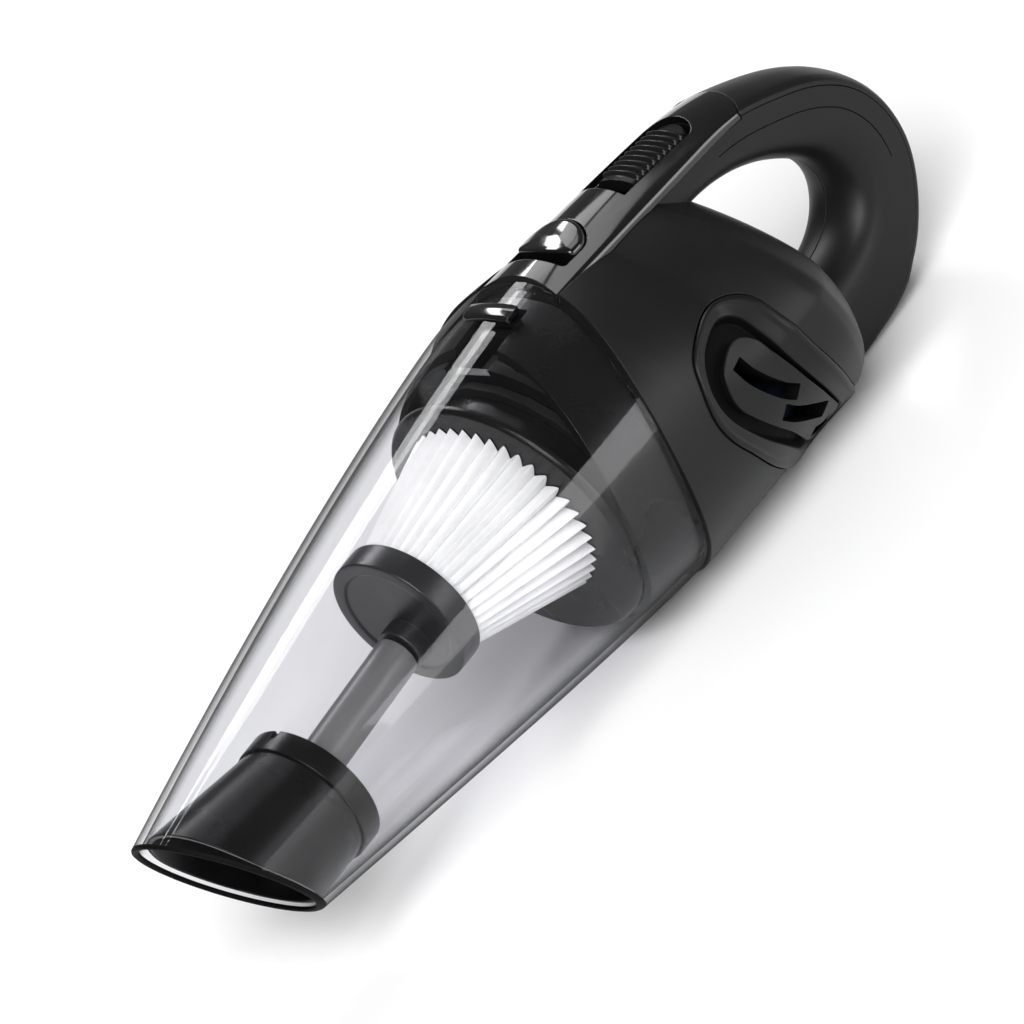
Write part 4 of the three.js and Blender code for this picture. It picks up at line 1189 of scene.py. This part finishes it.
def filter_stem():
    """The bar from the cap's boss to the duct, tilted a little."""
    back = CAP_X + CAP_LENGTH + BOSS_LENGTH + 2 * GAP
    length = STEM_FRONT - back
    profile = rounded([(0, STEM_RADIUS - 1.8), (0, STEM_RADIUS), (length, STEM_RADIUS), (length, 0.01),
                       (length - 2, 0.01), (length - 2, STEM_RADIUS - 1.8)], 0.7, 5)
    stem = lathe("stem", profile, 96)
    stem.data.transform(Matrix.Rotation(STEM_TILT, 4, "Y"))
    stem.data.transform(Matrix.Translation((back + STEM_RADIUS * STEM_TILT, 0, STEM_RISE)))
    shade(stem)
    place(stem, "cone_stem", "filter", "filter_stem", SMOKED)


def filter_base():
    """The plate behind the filter, with a stepped rim and a spigot."""
    profile = rounded([(33.3, 27), (33.3, 45), (32, 46), (30.3, 46), (30.3, 40.5), (20.5, 40.5),
                       (20.5, 38), (29.6, 38), (29.6, 27)], 0.5, 4)
    base = lathe("plate", profile, 180)
    shade(base)
    place(base, "filter_plate", "filter", "filter_base", SATIN)


def release_spring():
    """The coil under the button's arm, on a mesh of its own."""
    samples, sides = 32, 10
    sections = []
    for i in range(round(SPRING_TURNS * samples) + 1):
        turn = 2 * math.pi * i / samples
        level = SPRING_LOW + (SPRING_HIGH - SPRING_LOW) * i / (SPRING_TURNS * samples)
        section = []
        for k in range(sides):
            around = 2 * math.pi * k / sides
            out = SPRING_RADIUS + SPRING_WIRE * math.cos(around)
            section.append((SPRING_X + out * math.cos(turn), out * math.sin(turn),
                            level + SPRING_WIRE * math.sin(around)))
        sections.append(section)
    coil = shade(loft("coil", sections))
    place(coil, "button_coil", "motor_body", "release_spring", STEEL)
    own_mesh(coil)


# ---- the object ----

motor_body()
spine()
release_button()
release_spring()
power_switch()
handle_screws()
front_collar()
charge_socket()
dust_cup()
cup_catch()
inlet_duct()
duct_collar()
filter_pleats()
filter_cap()
filter_stem()
filter_base()

# pieces inside the body that keep their CAD shape
KEPT = {
    INNER: ["filter_core", "switch_unit", "latch_guide", "intake_guard", "fan_shroud", "fan_impeller",
            "motor_bracket", "battery_bracket_front", "battery_bracket_rear"],
    RUBBER: ["filter_seal"],
    STEEL: ["motor_shaft", "motor_can"],
    WRAP: ["battery_cell_1", "battery_cell_2", "battery_cell_3"],
    BOARD: ["circuit_board"],
}
for material, names in KEPT.items():
    for name in names:
        node = frame["nodes"][name]
        node.data.materials.clear()
        node.data.materials.append(material)

# ---- floor, light and camera, in metres ----

AMBIENT, BACKDROP = 0.15, 1.0
FLOOR_HALF, FLOOR_TOP, FLOOR_UNDERSIDE = 6, -0.0002, -0.02
GLOW_FROM, GLOW_FULL, GLOW = 0.7, 2.2, 0.8  # the far floor glows, beyond the reach of the lights
VIEW = (0.469, 0.7405, 0.481)  # from the object towards the camera
ROLL = (-0.63, 0.777)  # how the picture's right side is turned about that direction
FRAMING = (0.0189, 0.0202)  # how far the picture's middle lies left of and below the joint
VIEW_DISTANCE, SEEN_WIDTH, SENSOR = 7.0, 0.315, 36
AIM = (0, 0, 0.06)

# name, direction, distance, direction of its first side, the two sides, power
LIGHTS = [
    ("key", (0.5, 0.58, 0.75), 2.0, (0.75, -0.65, 0), (1.3, 1.3), 54),
    ("strip", (-0.33, -0.65, 0.69), 1.3, (0.25, 0.02, 0.21), (0.66, 0.2), 6),
    ("panel_low", (-0.58, -0.46, 0.67), 1.3, (0, 1, 0), (0.42, 0.2), 0.9),
    ("panel_high", (-0.6, -0.08, 0.8), 1.3, (0, 1, 0), (0.5, 0.2), 0.8),
    ("side", (-0.42, 0.88, 0.14), 1.3, (0, 0, 1), (0.46, 0.95), 6.5),
]


def floor():
    """A plain pale floor."""
    n = Nodes("pale_floor")
    tone = n.noise(3, 2)
    n.set(Base_Color=n.mix(n.spread(tone, 0, 1), (0.9, 0.9, 0.9, 1), (0.93, 0.93, 0.93, 1)))
    n.set(Roughness=n.spread(tone, 0.75, 0.85), Metallic=0.0)
    away = n.add("ShaderNodeVectorMath", operation="LENGTH")
    n.put(away.inputs[0], n.coordinates)
    n.shader.inputs["Emission Color"].default_value = (1, 1, 1, 1)
    glow = n.ranged(away.outputs["Value"], GLOW_FROM, GLOW_FULL, 0.0, GLOW)
    n.put(n.shader.inputs["Emission Strength"], glow)
    half = FLOOR_HALF
    sheet = box("floor", -half, half, -half, half, FLOOR_UNDERSIDE, FLOOR_TOP)
    sheet.data.materials.append(n.material)


def area_light(name, towards, distance, along, size, power):
    """A softbox in a direction from the object. The first of its two sizes lies along a vector."""
    back = Vector(towards).normalized()
    side = Vector(along)
    side = (side - back * side.dot(back)).normalized()
    light = bpy.data.lights.new(name, "AREA")
    light.shape = "RECTANGLE"
    light.size, light.size_y = size
    light.energy = power
    obj = bpy.data.objects.new(name, light)
    bpy.context.collection.objects.link(obj)
    turn = Matrix((side, back.cross(side), back)).transposed()
    obj.matrix_world = Matrix.Translation(Vector(AIM) + back * distance) @ turn.to_4x4()


def world():
    """Dim light from all round. The camera sees a white backdrop in its place."""
    made = bpy.data.worlds.new("studio")
    bpy.context.scene.world = made
    made.use_nodes = True
    nodes, links = made.node_tree.nodes, made.node_tree.links
    background = nodes["Background"]
    background.inputs["Color"].default_value = (1, 1, 1, 1)
    seen = nodes.new("ShaderNodeLightPath").outputs["Is Camera Ray"]
    strength = nodes.new("ShaderNodeMapRange")
    strength.inputs["To Min"].default_value = AMBIENT
    strength.inputs["To Max"].default_value = BACKDROP
    links.new(seen, strength.inputs["Value"])
    links.new(strength.outputs["Result"], background.inputs["Strength"])


def camera():
    """A view from the front left and above, rolled so that the nozzle points down to the left. The
    distance is long, so the view is close to parallel."""
    towards = Vector(VIEW).normalized()
    across = (Vector((1, 0, 0)) - towards * towards.x).normalized()
    other = towards.cross(across)
    right = (across * ROLL[0] + other * ROLL[1]).normalized()
    up = towards.cross(right).normalized()
    joint_centre = Vector(SHIFT) * MM
    target = joint_centre - right * FRAMING[0] - up * FRAMING[1]
    data = bpy.data.cameras.new("camera")
    data.sensor_width = SENSOR
    data.lens = data.sensor_width * VIEW_DISTANCE / SEEN_WIDTH
    data.clip_end = 50
    obj = bpy.data.objects.new("camera", data)
    bpy.context.collection.objects.link(obj)
    turn = Matrix((right, up, towards)).transposed()
    obj.matrix_world = Matrix.Translation(target + towards * VIEW_DISTANCE) @ turn.to_4x4()
    bpy.context.scene.camera = obj


floor()
world()
camera()
for light in LIGHTS:
    area_light(*light)
bpy.context.scene.view_settings.view_transform = "Standard"
